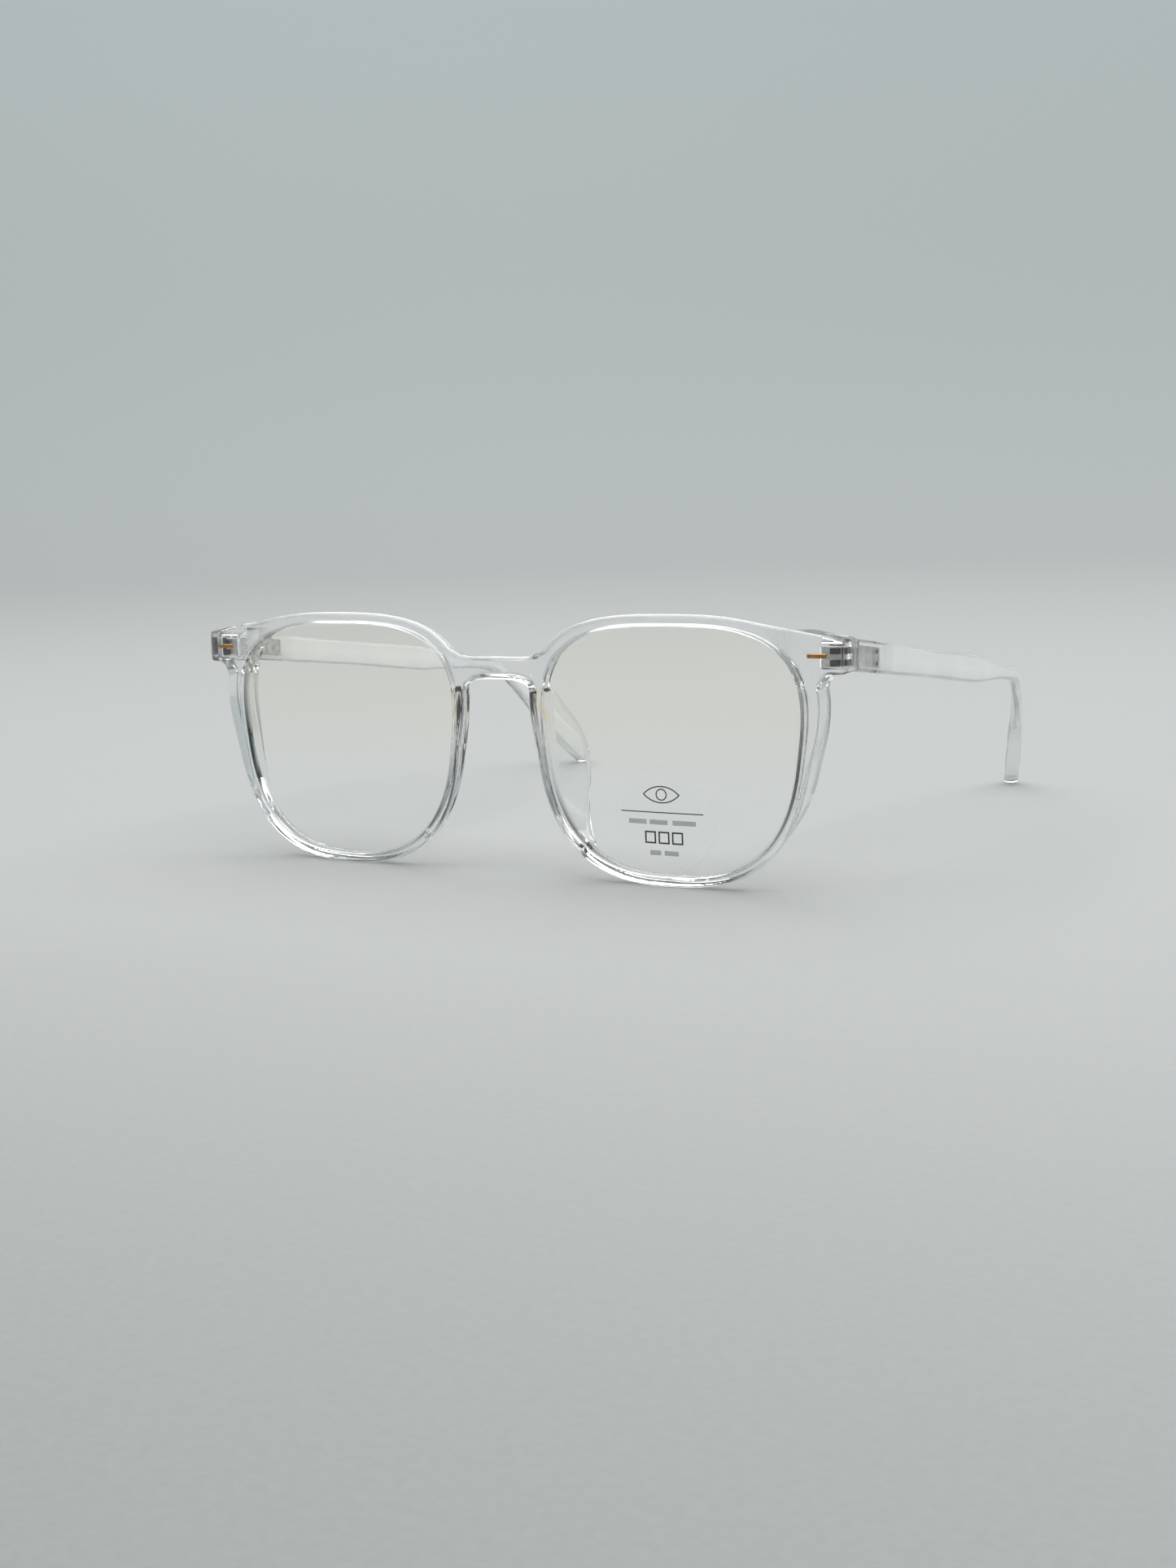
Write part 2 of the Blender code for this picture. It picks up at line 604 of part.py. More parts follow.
def build():
    clear_scene()
    clear = material("clear_plastic", (0.93, 0.95, 0.96), 0.08, alpha=0.45)
    lens = material("tinted_lens", (0.98, 0.95, 0.89), 0.03, alpha=0.25)
    steel = material("hinge_steel", (0.45, 0.44, 0.43), 0.35, metallic=1.0)
    screw = material("screw_steel", (0.62, 0.61, 0.6), 0.25, metallic=1.0)
    gold = material("gold", (0.62, 0.42, 0.2), 0.3, metallic=1.0)
    film = material("label_film", (0.95, 0.95, 0.95), 0.3, alpha=0.6)

    root = bpy.data.objects.new("glasses", None)
    bpy.context.scene.collection.objects.link(root)
    root.location = (0.0, -DEPTH_MIDDLE * MM, 0.0)

    front_frame(clear, root)
    for mirrored, side in ((False, "left"), (True, "right")):
        middle = (LENS_CENTRE_X, 0.0, LENS_CENTRE_Z)
        make(f"lens_{side}", *loft(lens_sections()), lens, middle, root, mirrored)
        gold_bar(f"gold_bar_{side}", gold, root, mirrored)
        front_leaf(f"hinge_front_leaf_{side}", steel, root, mirrored)
        temple_leaf(f"hinge_temple_leaf_{side}", steel, root, mirrored)
        hinge_screw(f"hinge_screw_{side}", screw, root, mirrored)
        temple(f"temple_{side}", clear, root, mirrored)
    make("lens_label", *loft(label_sections()), film, (LABEL_X, 0.0, LABEL_Z), root)


build()
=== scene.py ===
# %% [markdown]
# # Clear plastic glasses on a seamless table
#
# A pair of clear glasses is hard to draw because almost nothing of it has a colour. What the eye reads is
# refraction: every rounded edge, groove and fillet bends the pale table and the dimmer room into thin lines.
# So most of this lesson goes into smooth, true surfaces, and the finishes stay simple.
#
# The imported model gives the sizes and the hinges. It is loaded first and never moved, and each fine piece
# below stands for one of its nodes.

import json
import math

import bpy
import numpy as np
from mathutils import Matrix, Vector


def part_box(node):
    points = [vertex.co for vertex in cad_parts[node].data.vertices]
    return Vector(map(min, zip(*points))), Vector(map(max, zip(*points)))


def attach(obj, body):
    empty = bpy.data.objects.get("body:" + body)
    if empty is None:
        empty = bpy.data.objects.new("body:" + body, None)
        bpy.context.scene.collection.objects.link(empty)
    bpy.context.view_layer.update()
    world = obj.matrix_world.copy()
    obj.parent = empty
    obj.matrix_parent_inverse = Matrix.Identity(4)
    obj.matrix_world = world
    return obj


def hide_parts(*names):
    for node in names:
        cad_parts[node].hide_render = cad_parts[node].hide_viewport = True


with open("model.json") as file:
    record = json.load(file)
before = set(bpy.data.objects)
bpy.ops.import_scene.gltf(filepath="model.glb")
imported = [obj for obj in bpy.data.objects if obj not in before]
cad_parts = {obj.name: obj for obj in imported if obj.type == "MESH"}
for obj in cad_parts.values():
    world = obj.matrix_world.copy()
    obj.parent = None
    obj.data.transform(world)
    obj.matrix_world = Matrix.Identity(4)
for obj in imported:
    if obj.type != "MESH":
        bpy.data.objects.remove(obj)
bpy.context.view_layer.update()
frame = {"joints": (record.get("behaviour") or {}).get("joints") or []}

MM = 0.001
MM_PER_METRE = 1000.0

# %% [markdown]
# ## Measures from the frame
#
# All shapes are worked out in millimetres in the maker's own axes: y = 0 is the flat front of the rims, the
# temples run along +Y, and z = 0 is the table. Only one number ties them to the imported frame, the depth at
# which the front stands, and it is read from the frame itself. The hinge axes come from the joints.

# %% Places that the frame fixes
def box_mm(node):
    """Lowest and highest corner of a CAD node in millimetres, as two arrays."""
    low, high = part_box(node)
    return np.array(low) / MM, np.array(high) / MM


BRIDGE_PROUD = 0.1
FRONT_Y = box_mm("front_frame")[0][1] + BRIDGE_PROUD
HALF_WIDTH = box_mm("front_frame")[1][0]
left_fold = next(j for j in frame["joints"] if j["child"] == "temple_left")
HINGE_X, HINGE_Y, HINGE_Z = np.array(left_fold["pos_m"]) / MM - (0.0, FRONT_Y, 0.0)
print(f"front stands at y = {FRONT_Y:.2f} mm, half width {HALF_WIDTH:.1f} mm")
print(f"hinge axis at x {HINGE_X:.2f}, y {HINGE_Y:.2f}, z {HINGE_Z:.2f} mm")

# %% [markdown]
# ## Camera and studio
#
# The glasses stand on a table that sweeps up into a wall, under one wide soft light. The camera is low and
# close, and a little to the wearer's left. Clear plastic needs contrast around it, so the room above the
# light is left dim: that is what draws the thin darker lines in the rims.

# %% Camera
def point_camera(place, azimuth, elevation, roll, lens):
    """A camera at place (metres) that looks azimuth degrees round from +Y and elevation degrees down."""
    a, e, r = (math.radians(v) for v in (azimuth, elevation, roll))
    forward = np.array([-math.sin(a) * math.cos(e), math.cos(a) * math.cos(e), -math.sin(e)])
    side = np.array([math.cos(a), math.sin(a), 0.0])
    above = np.cross(side, forward)
    right = side * math.cos(r) + above * math.sin(r)
    up = above * math.cos(r) - side * math.sin(r)
    data = bpy.data.cameras.new("camera")
    data.lens, data.sensor_width = lens, 36.0
    data.clip_start, data.clip_end = 0.01, 50.0
    data.dof.use_dof = False
    camera = bpy.data.objects.new("camera", data)
    axes = np.stack([right, up, -forward], 1)
    camera.matrix_world = Matrix.Translation(place) @ Matrix(axes.tolist()).to_4x4()
    bpy.context.scene.collection.objects.link(camera)
    bpy.context.scene.camera = camera
    return camera


camera = point_camera((0.1843, -0.3733, 0.0704), azimuth=28.62, elevation=8.61, roll=-1.55, lens=43.53)
print("camera", [round(v, 4) for v in camera.matrix_world.translation])

# %% [markdown]
# The table and the wall are one sheet of paper: a round room whose floor curves up at its rim, so that every
# view has a seamless pale background. It is a grid of radius and turn. Over it hangs one wide soft light, and
# a dim sky fills in from all sides. The colours go into the picture as they are, with no film curve, because
# such a curve flattens a scene that is nearly all one pale tone.

# %% Seamless paper
ROOM_RADIUS, ROOM_CURVE, ROOM_HEIGHT = 2.6, 1.1, 1.3


def seamless_paper(turns=96):
    """A profile (radius, height) of flat floor, quarter circle and wall, carried round the room's axis."""
    bend = np.linspace(0.0, math.pi / 2, 25)
    radius = np.concatenate([[0.0, 0.5, 1.0], ROOM_RADIUS - ROOM_CURVE * (1 - np.sin(bend)), [ROOM_RADIUS]])
    height = np.concatenate([[0.0, 0.0, 0.0], ROOM_CURVE * (1 - np.cos(bend)), [ROOM_HEIGHT]])
    turn = np.linspace(0.0, 2 * math.pi, turns, endpoint=False)[None]
    x, y = radius[:, None] * np.cos(turn), radius[:, None] * np.sin(turn)
    points = np.stack([x, y, np.broadcast_to(height[:, None], x.shape)], -1).reshape(-1, 3)
    index = np.arange(len(points)).reshape(x.shape)
    ahead = np.roll(index, -1, axis=1)
    faces = np.stack([index[:-1], ahead[:-1], ahead[1:], index[1:]], -1).reshape(-1, 4)
    mesh = bpy.data.meshes.new("seamless_paper")
    mesh.from_pydata(points.tolist(), [], faces.tolist())
    mesh.shade_smooth()
    paper = bpy.data.objects.new("seamless_paper", mesh)
    bpy.context.scene.collection.objects.link(paper)
    return paper


paper = seamless_paper()
print("paper:", len(paper.data.polygons), "faces")


# %% Lights
LIGHT_PLACE, LIGHT_AIM, LIGHT_SIZE, LIGHT_POWER = (0.0, 0.3, 1.35), (0.0, 0.3, 0.0), 2.6, 80.0
SKY_COLOUR, SKY_STRENGTH = (0.8, 0.83, 0.85, 1.0), 0.22


def soft_light(name, place, aim, size, power):
    """A light of size by size metres at place that faces aim."""
    data = bpy.data.lights.new(name, "AREA")
    data.shape, data.size, data.size_y = "RECTANGLE", size, size
    data.energy = power
    light = bpy.data.objects.new(name, data)
    light.location = place
    light.rotation_euler = (Vector(aim) - Vector(place)).to_track_quat("-Z", "Y").to_euler()
    bpy.context.scene.collection.objects.link(light)
    return light


soft_light("overhead", LIGHT_PLACE, LIGHT_AIM, LIGHT_SIZE, LIGHT_POWER)

world = bpy.data.worlds.new("room")
world.use_nodes = True
sky = world.node_tree.nodes["Background"]
sky.inputs["Color"].default_value = SKY_COLOUR
sky.inputs["Strength"].default_value = SKY_STRENGTH
bpy.context.scene.world = world
bpy.context.scene.view_settings.view_transform = "Standard"

# %% [markdown]
# ## Writing materials as sums
#
# A node tree reads badly as code. One small class wraps a socket, so that `1 - mask * 0.4` adds its own Math
# nodes, and one method on the material adds any other node from its type, its settings and its sockets.

# %% A socket that can be added and multiplied
class Signal:
    """One number that varies over a surface: an output socket with Python's operators on it."""

    def __init__(self, finish, socket):
        self.finish, self.socket = finish, socket

    def math(self, operation, *others):
        return self.finish.node("ShaderNodeMath", {"operation": operation}, [self, *others])

    def __add__(self, other):
        return self.math("ADD", other)

    def __sub__(self, other):
        return self.math("SUBTRACT", other)

    def __mul__(self, other):
        return self.math("MULTIPLY", other)

    def __pow__(self, other):
        return self.math("POWER", other)

    def __rsub__(self, other):
        return self.finish.node("ShaderNodeMath", {"operation": "SUBTRACT"}, [other, self])

    __radd__ = __add__
    __rmul__ = __mul__

    def __abs__(self):
        return self.math("ABSOLUTE")

    def most(self, other):
        return self.math("MAXIMUM", other)

    def ramp(self, low, high):
        """0 at low, 1 at high, an S-curve between them. low may be the larger of the two."""
        ends = {1: low, 2: high, 3: 0.0, 4: 1.0} if low <= high else {1: high, 2: low, 3: 1.0, 4: 0.0}
        return self.finish.node("ShaderNodeMapRange", {"interpolation_type": "SMOOTHSTEP"}, {0: self, **ends})


class Finish:
    """A Principled material. Uniform numbers go straight on its sockets; what varies is a Signal."""

    def __init__(self, name, **uniform):
        self.material = bpy.data.materials.new(name)
        self.material.use_nodes = True
        self.tree = self.material.node_tree
        self.shader = self.tree.nodes["Principled BSDF"]
        for key, value in uniform.items():
            socket = self.shader.inputs[key.replace("_", " ").title().replace("Ior", "IOR")]
            socket.default_value = (*value, 1.0) if isinstance(value, tuple) else value

    def node(self, kind, settings=None, sockets=None, output=0):
        """Adds a node: its settings first, then the values or links of its sockets. Returns one output."""
        made = self.tree.nodes.new(kind)
        for key, value in (settings or {}).items():
            setattr(made, key, value)
        pairs = sockets.items() if isinstance(sockets, dict) else enumerate(sockets or [])
        for key, value in pairs:
            self.join(value, made.inputs[key])
        return Signal(self, made.outputs[output])

    def join(self, value, socket):
        if isinstance(value, Signal):
            self.tree.links.new(value.socket, socket)
        else:
            colour = len(np.shape(value)) and socket.type == "RGBA"
            socket.default_value = (*value, 1.0) if colour else value

    def place(self):
        """Signals x, y and z in millimetres: the maker's axes of this lesson."""
        where = self.node("ShaderNodeTexCoord", output=3)
        split = self.tree.nodes.new("ShaderNodeSeparateXYZ")
        self.tree.links.new(where.socket, split.inputs[0])
        x, y, z = (Signal(self, s) for s in split.outputs)
        return x * MM_PER_METRE, y * MM_PER_METRE - FRONT_Y, z * MM_PER_METRE

    def normal_up(self):
        """Signal of how far the surface faces up: 1 on top, 0 on an upright side, -1 below."""
        facing = self.node("ShaderNodeTexCoord", output=1)
        return self.node("ShaderNodeSeparateXYZ", {}, {0: facing}, output=2)

    def noise(self, size_mm, detail=2.0, rough=0.5, stretch=(1.0, 1.0, 1.0)):
        """Smooth noise, 0 to 1, whose lumps are about size_mm across."""
        where = self.node("ShaderNodeTexCoord", output=3)
        per_axis = [MM_PER_METRE / size_mm / s for s in stretch]
        scaled = self.node("ShaderNodeMapping", {}, {0: where, 3: per_axis})
        return self.node("ShaderNodeTexNoise", {}, {"Vector": scaled, "Scale": 1.0, "Detail": detail,
                                                     "Roughness": rough})

    def mix(self, share, first, second):
        """Colour between first and second."""
        return self.node("ShaderNodeMix", {"data_type": "RGBA", "clamp_factor": False},
                         {0: share, 6: first, 7: second}, output=2)

    def bump(self, height, strength, distance_mm):
        return self.node("ShaderNodeBump", {}, {"Height": height, "Strength": strength,
                                                "Distance": distance_mm * MM})

    def set(self, **varying):
        for key, value in varying.items():
            self.join(value, self.shader.inputs[key.replace("_", " ").title()])
        return self

    def veil(self, share, **uniform):
        """Lays a second Principled shader over the first, by a share that varies from 0 to 1."""
        over = self.tree.nodes.new("ShaderNodeBsdfPrincipled")
        for key, value in uniform.items():
            self.join(value, over.inputs[key.replace("_", " ").title()])
        mixed = self.tree.nodes.new("ShaderNodeMixShader")
        self.join(share, mixed.inputs[0])
        self.tree.links.new(self.shader.outputs[0], mixed.inputs[1])
        self.tree.links.new(over.outputs[0], mixed.inputs[2])
        self.tree.links.new(mixed.outputs[0], self.tree.nodes["Material Output"].inputs["Surface"])
        return self


print("Principled sockets:", len(Finish("probe").shader.inputs))
bpy.data.materials.remove(bpy.data.materials["probe"])


# %% [markdown]
# ## Meshes from arrays
#
# Each surface is worked out as whole arrays and handed to Blender once. `put_mesh` takes points in the
# maker's axes, moves them to the frame and hangs the piece on its body. A grid of points becomes a closed
# skin with `grid_faces`: rows run along the piece, columns run round it.

# %% Points in, piece out
def put_mesh(name, points, faces, finish, body, replaces=(), slot=None, normals=None):
    """A piece from points (n, 3) in millimetres and faces (quads and triangles as lists of indices)."""
    place = (np.asarray(points, float) + (0.0, FRONT_Y, 0.0)) * MM
    mesh = bpy.data.meshes.new(name)
    mesh.from_pydata(place.tolist(), [], [list(f) for f in faces])
    mesh.validate()
    mesh.materials.append(finish.material)
    mesh.shade_smooth()
    if normals is not None:
        mesh.normals_split_custom_set_from_vertices(np.asarray(normals, float).tolist())
    piece = bpy.data.objects.new(name, mesh)
    bpy.context.scene.collection.objects.link(piece)
    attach(piece, body)
    if replaces:
        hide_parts(*replaces)
    return piece


def grid_faces(rows, columns, start=0, capped=True):
    """Faces over a grid whose columns close on themselves, with a fan of one polygon at each end."""
    index = start + np.arange(rows * columns).reshape(rows, columns)
    ahead = np.roll(index, -1, axis=1)
    faces = np.stack([index[:-1], ahead[:-1], ahead[1:], index[1:]], -1).reshape(-1, 4).tolist()
    if capped:
        faces += [index[0][::-1].tolist(), index[-1].tolist()]
    return faces


def smooth(value, low, high):
    """0 below low, 1 above high, and an S-curve between them."""
    t = np.clip((np.asarray(value, float) - low) / (high - low), 0.0, 1.0)
    return t * t * (3.0 - 2.0 * t)


def swell(value, middle, width):
    """A bell curve, 1 at middle and fading over width."""
    return np.exp(-(((value - middle) / width) ** 2))


print("a grid of 3 by 8 points has", len(grid_faces(3, 8)), "faces, with its two ends closed")

# %% [markdown]
# ## The eye shape
#
# Everything on the front follows one outline: the lens opening, a rounded square that narrows towards its
# foot. It is a superellipse. At height u, from -1 to 1, its half width is W (1 + taper u)(1 - |u|^n)^(1/n),
# and the power n is a little lower below the middle, where the corners are rounder.

# %% Outline of the lens opening
EYE_X, EYE_Z = 35.3, 24.55
EYE_HALF_WIDTH, EYE_HALF_HEIGHT = 24.9, 22.65
EYE_TAPER = 0.11
EYE_POWER_TOP, EYE_POWER_FOOT = 3.0, 2.7
OUTLINE_SAMPLES, TANGENT_REACH = 14401, 0.4


def eye_outline(count):
    """Evenly spaced points and outward normals of the left lens opening, and its length.

    The superellipse is sampled finely, walked at an even pace, and its tangent is the chord between the
    points a little ahead and a little behind.
    """
    t = np.linspace(0.0, 2 * math.pi, OUTLINE_SAMPLES)
    power = np.where(np.sin(t) >= 0, EYE_POWER_TOP, EYE_POWER_FOOT)
    u = np.sign(np.sin(t)) * np.abs(np.sin(t)) ** (2 / power)
    across = np.sign(np.cos(t)) * np.abs(np.cos(t)) ** (2 / power)
    x = EYE_X + EYE_HALF_WIDTH * (1 + EYE_TAPER * u) * across
    z = EYE_Z + EYE_HALF_HEIGHT * u
    run = np.concatenate([[0.0], np.cumsum(np.hypot(np.diff(x), np.diff(z)))])
    even = np.linspace(0.0, run[-1], count, endpoint=False)

    def at(s):
        s = s % run[-1]
        return np.stack([np.interp(s, run, x), np.interp(s, run, z)], 1)

    tangent = at(even + TANGENT_REACH) - at(even - TANGENT_REACH)
    tangent /= np.linalg.norm(tangent, axis=1)[:, None]
    normal = np.stack([tangent[:, 1], -tangent[:, 0]], 1)
    return at(even), normal, run[-1]


TABLE_POINTS, TABLE_NORMALS, EYE_LENGTH = eye_outline(1600)
print(f"lens opening: {EYE_LENGTH:.1f} mm round")


# %% Distance from the outline
SEED_STEP, SEED_SKIP = 0.5, 4
SEED_X = np.arange(-2.0, 76.0, SEED_STEP)
SEED_Z = np.arange(-6.0, 58.0, SEED_STEP)


def seed_table():
    """For each point of a coarse grid, the number of the outline's nearest point."""
    x, z = np.meshgrid(SEED_X, SEED_Z, indexing="ij")
    blocks = np.array_split(np.stack([x.ravel(), z.ravel()], 1), 40)
    some = TABLE_POINTS[::SEED_SKIP]
    nearest = [((block[:, None] - some) ** 2).sum(2).argmin(1) for block in blocks]
    return np.concatenate(nearest).reshape(x.shape) * float(SEED_SKIP)


SEED = seed_table()


def along_outline(table, s):
    """Rows of a closed table at fractional positions s."""
    low = np.floor(s).astype(int)
    share = (s - low)[..., None]
    return table[low % len(table)] * (1 - share) + table[(low + 1) % len(table)] * share


def from_outline(x, z):
    """Distance outwards from the lens opening's outline, and the direction angle of the nearest point.

    The coarse table gives a first guess, and three steps along the tangent slide it to the foot of the
    perpendicular.
    """
    x, z = np.broadcast_arrays(np.asarray(x, float), np.asarray(z, float))
    column = np.clip(np.rint((x - SEED_X[0]) / SEED_STEP).astype(int), 0, len(SEED_X) - 1)
    row = np.clip(np.rint((z - SEED_Z[0]) / SEED_STEP).astype(int), 0, len(SEED_Z) - 1)
    s = SEED[column, row]
    spacing = EYE_LENGTH / len(TABLE_POINTS)
    point = np.stack([x, z], -1)
    for _ in range(3):
        gap = point - along_outline(TABLE_POINTS, s)
        normal = along_outline(TABLE_NORMALS, s)
        s = s + (gap[..., 1] * normal[..., 0] - gap[..., 0] * normal[..., 1]) / spacing
    foot = along_outline(TABLE_POINTS, s)
    outwards = ((point - foot) * along_outline(TABLE_NORMALS, s)).sum(-1)
    return outwards, np.degrees(np.arctan2(foot[..., 1] - EYE_Z, foot[..., 0] - EYE_X))


below_foot = from_outline(EYE_X, EYE_Z - EYE_HALF_HEIGHT - 2.0)[0]
print("distance 2 mm outside the foot reads", round(float(below_foot), 3))

# %% [markdown]
# ## The front as one moulding
#
# On the real object the two rims, the bridge, the end pieces and the nose pads are one shot of clear plastic,
# and every inner corner between them is a soft fillet. A surface made of joined tubes would show a crease at
# each joint, and refraction makes creases glaring. So this piece is made another way than the others: the
# shape is written as one function f(x, y, z) that is negative inside the plastic, with rounded unions and
# cuts, and the surface f = 0 is then found on a grid of cells. Each crossed cell gets one point, the points
# are pulled onto f = 0, and the normals are the exact slope of f, so the refraction is as clean as the
# formula.
#
# The bodies are first joined in the flat, as one outline seen from ahead, and only then given depth. Joined
# in space, two bodies that share one front face would raise a bulge on it.

# %% Rounded unions and cuts
def fuse(a, b, radius):
    """Union of two bodies with a fillet of about radius in the corner between them."""
    corner = np.hypot(np.maximum(radius - a, 0.0), np.maximum(radius - b, 0.0))
    return np.maximum(np.minimum(a, b), radius) - corner


def keep(a, b, radius):
    """What lies in both bodies, with its outer edge rounded to about radius."""
    return -fuse(-a, -b, radius)


def slab(value, low, high):
    """Distance outside the band from low to high."""
    return np.abs(value - (low + high) / 2) - (high - low) / 2


print("a square corner with a 1 mm fillet: 0.5 mm off both walls reads", round(float(fuse(0.5, 0.5, 1.0)), 3))

# %% The front's measures
RIM_DEPTH, RIM_WIDTH, RIM_DRAFT, RIM_ROUND = 3.5, 1.9, 0.6, 0.6
GROOVE_DEPTH, GROOVE_FRONT, GROOVE_BACK, GROOVE_SLOPE = 0.64, 0.8, 2.75, 0.55
OPENING_ROUND = 0.4
BOW, BOW_START, BOW_REACH = 1.2, 9.0, 60.0
BRIDGE_HALF, BRIDGE_END, BRIDGE_TOP, BRIDGE_FOOT, ARCH_DROP = 8.9, 10.8, 41.4, 37.1, 3.4
BRIDGE_LIFT, BRIDGE_THINNER = 0.9, 0.15
END_INNER, END_TOP, END_FOOT, END_DEPTH, SIDE_WALL = 49.0, 45.7, 39.2, 7.6, 63.0
END_SLOPE, END_SLOPE_FROM, FOOT_ROUND, FOOT_ROUND_AT = 0.175, 66.2, 2.8, 66.4
CORNER_BACK, CORNER_FROM, CORNER_TO = 1.2, 66.4, 70.6
END_ROUND, FILLET, FILLET_LESS_ON_TOP = 0.8, 0.9, 0.75
PAD_ROOT, PAD_HALF_THICK, PAD_ROUND = 2.95, 0.85, 0.8
RIM_SWELLS = ((1.5, 22, 26), (0.8, 150, 22))


def bow(x):
    """How far back the front stands at x: nothing at the bridge, 1.2 mm at the hinges."""
    return BOW * (np.maximum(np.abs(x) - BOW_START, 0.0) / BOW_REACH) ** 2


def rim_width(angle):
    """Width of the rim seen from the front: a little more on top, and it swells at the hinge and the bridge.

    Each swell is a number of millimetres, the angle where it is greatest, and the degrees that it spreads.
    """
    width = RIM_WIDTH + 0.4 * np.clip(np.sin(np.radians(angle)), 0, 1)
    for extra, at, spread in RIM_SWELLS:
        width = width + extra * swell(angle, at, spread)
    return width


def curve_through(at, knots, values):
    """A smooth curve through (knots, values): cubic pieces whose slopes agree where they meet."""
    slopes = np.gradient(values, knots)
    k = np.clip(np.searchsorted(knots, at) - 1, 0, len(knots) - 2)
    span = knots[k + 1] - knots[k]
    t = np.clip((at - knots[k]) / span, 0.0, 1.0)
    rise = values[k] * (1 + 2 * t) * (1 - t) ** 2 + values[k + 1] * t * t * (3 - 2 * t)
    return rise + span * (slopes[k] * t * (1 - t) ** 2 - slopes[k + 1] * t * t * (1 - t))


print(f"at the hinge: bowed {float(bow(HINGE_X)):.2f} mm, rim {rim_width(22):.1f} mm wide")


# %% Outline of the front, seen from ahead
def bridge_outline(x, z):
    """A bar with a flat top, whose underside arches down into the rims."""
    reach = np.minimum(x / BRIDGE_HALF, 1.0)
    foot, top = BRIDGE_FOOT - ARCH_DROP * reach**4, BRIDGE_TOP + BRIDGE_LIFT * reach**8
    return np.maximum(slab(z, foot, top), x - BRIDGE_END)


def end_outline(x, z):
    """The end piece leaves the rim's top line and runs out to the side, its foot rounding up from the rim."""
    top = END_TOP + END_SLOPE * (END_SLOPE_FROM - x)
    foot = END_FOOT - FOOT_ROUND * np.clip((FOOT_ROUND_AT - x) / FOOT_ROUND, 0, 1) ** 2
    return keep(slab(z, foot, top), slab(x, END_INNER, HALF_WIDTH), END_ROUND)


def front_outline(x, z):
    """Distance outside the front's silhouette and outside the lens opening.

    The fillet between the bodies is smaller on top, where the end piece and the rim share one line.
    """
    outwards, angle = from_outline(x, z)
    outline = fuse(outwards - rim_width(angle), bridge_outline(x, z), FILLET)
    outline = fuse(outline, end_outline(x, z), FILLET - FILLET_LESS_ON_TOP * smooth(z, 41.5, 43.5))
    return outline, outwards


bridge_middle = front_outline(0.0, (BRIDGE_TOP + BRIDGE_FOOT) / 2)[0]
print("half height of the bridge:", round(-float(bridge_middle), 2), "mm")


# %% Depth of the front
def opening(outwards, y):
    """The hole for the lens, with the groove that holds its edge."""
    groove = smooth(y, GROOVE_FRONT, GROOVE_FRONT + GROOVE_SLOPE)
    return outwards - GROOVE_DEPTH * groove * smooth(-y, -GROOVE_BACK, GROOVE_SLOPE - GROOVE_BACK)


def plate(outline, x, y):
    """The outline given depth: 3.5 mm at the rims, narrower towards the back, deeper at the end pieces."""
    at_bridge = 1 - smooth(x, 7.0, 9.5)
    at_side = smooth(x, SIDE_WALL - 10.0, SIDE_WALL)
    front = CORNER_BACK * smooth(x, CORNER_FROM, CORNER_TO) - BRIDGE_PROUD * at_bridge
    back = RIM_DEPTH - BRIDGE_THINNER * at_bridge + (END_DEPTH - bow(HALF_WIDTH) - RIM_DEPTH) * at_side
    draft = RIM_DRAFT * np.clip((y - RIM_ROUND) / (RIM_DEPTH - 2 * RIM_ROUND), 0, 1)
    draft = draft * (1 - smooth(x, 57.0, 62.0))
    return keep(outline + draft, slab(y, front, back), RIM_ROUND)


POCKET_DEPTH, POCKET_ROUND = 2.2, 0.3
PAD_HEIGHT = np.array([5.8, 7.5, 11.0, 15.0, 18.5, 22.0, 25.5, 29.0, 32.0, 35.0])
PAD_ROOT_X = np.array([17.6, 16.0, 13.7, 11.9, 10.7, 9.9, 9.3, 8.9, 8.7, 8.7])
PAD_TIP_X = np.array([17.9, 16.7, 15.3, 14.6, 14.3, 14.0, 13.3, 12.2, 10.9, 9.6])
PAD_TIP_Y = np.array([4.1, 4.9, 6.4, 7.9, 8.9, 9.3, 8.9, 7.6, 5.8, 4.1])


def nose_pad(x, y, z):
    """A fin from the rim's rear lip. At each height it is a rounded bar from its root to its tip."""
    root, tip_x, tip_y = (curve_through(z, PAD_HEIGHT, v) for v in (PAD_ROOT_X, PAD_TIP_X, PAD_TIP_Y))
    along_x, along_y = tip_x - root, tip_y - PAD_ROOT
    length = np.hypot(along_x, along_y)
    share = np.clip(((x - root) * along_x + (y - PAD_ROOT) * along_y) / length**2, 0.0, 1.0)
    off = np.hypot(x - root - share * along_x, y - PAD_ROOT - share * along_y)
    return keep(off - PAD_HALF_THICK, slab(z, PAD_HEIGHT[0], PAD_HEIGHT[-1]), PAD_ROUND)


def hinge_pocket(x, y, z):
    """The recess in the end piece's back for the metal leaf, its knuckles and the screw's head."""
    room = keep(slab(x, HINGE_X - 1.8, HINGE_X + 2.6), slab(z, HINGE_Z - 2.1, HINGE_Z + 2.5), POCKET_ROUND)
    return keep(room, HINGE_Y - POCKET_DEPTH - y, POCKET_ROUND)


def front_body(x, y, z):
    """Negative inside the plastic of the front, in millimetres; the two sides are alike."""
    x = np.abs(x)
    outline, outwards = front_outline(x, z)
    flat_y = y - bow(x)
    body = keep(plate(outline, x, flat_y), -opening(outwards, flat_y), OPENING_ROUND)
    body = fuse(body, nose_pad(x, flat_y, z), PAD_ROUND)
    return keep(body, -hinge_pocket(x, y, z), 0.2)


print("inside the bridge:", bool(front_body(0.0, 1.5, 39.0) < 0), "- inside the lens opening:",
      bool(front_body(EYE_X, 1.5, EYE_Z) < 0))


# %% Finding the surface
CELL = 0.27


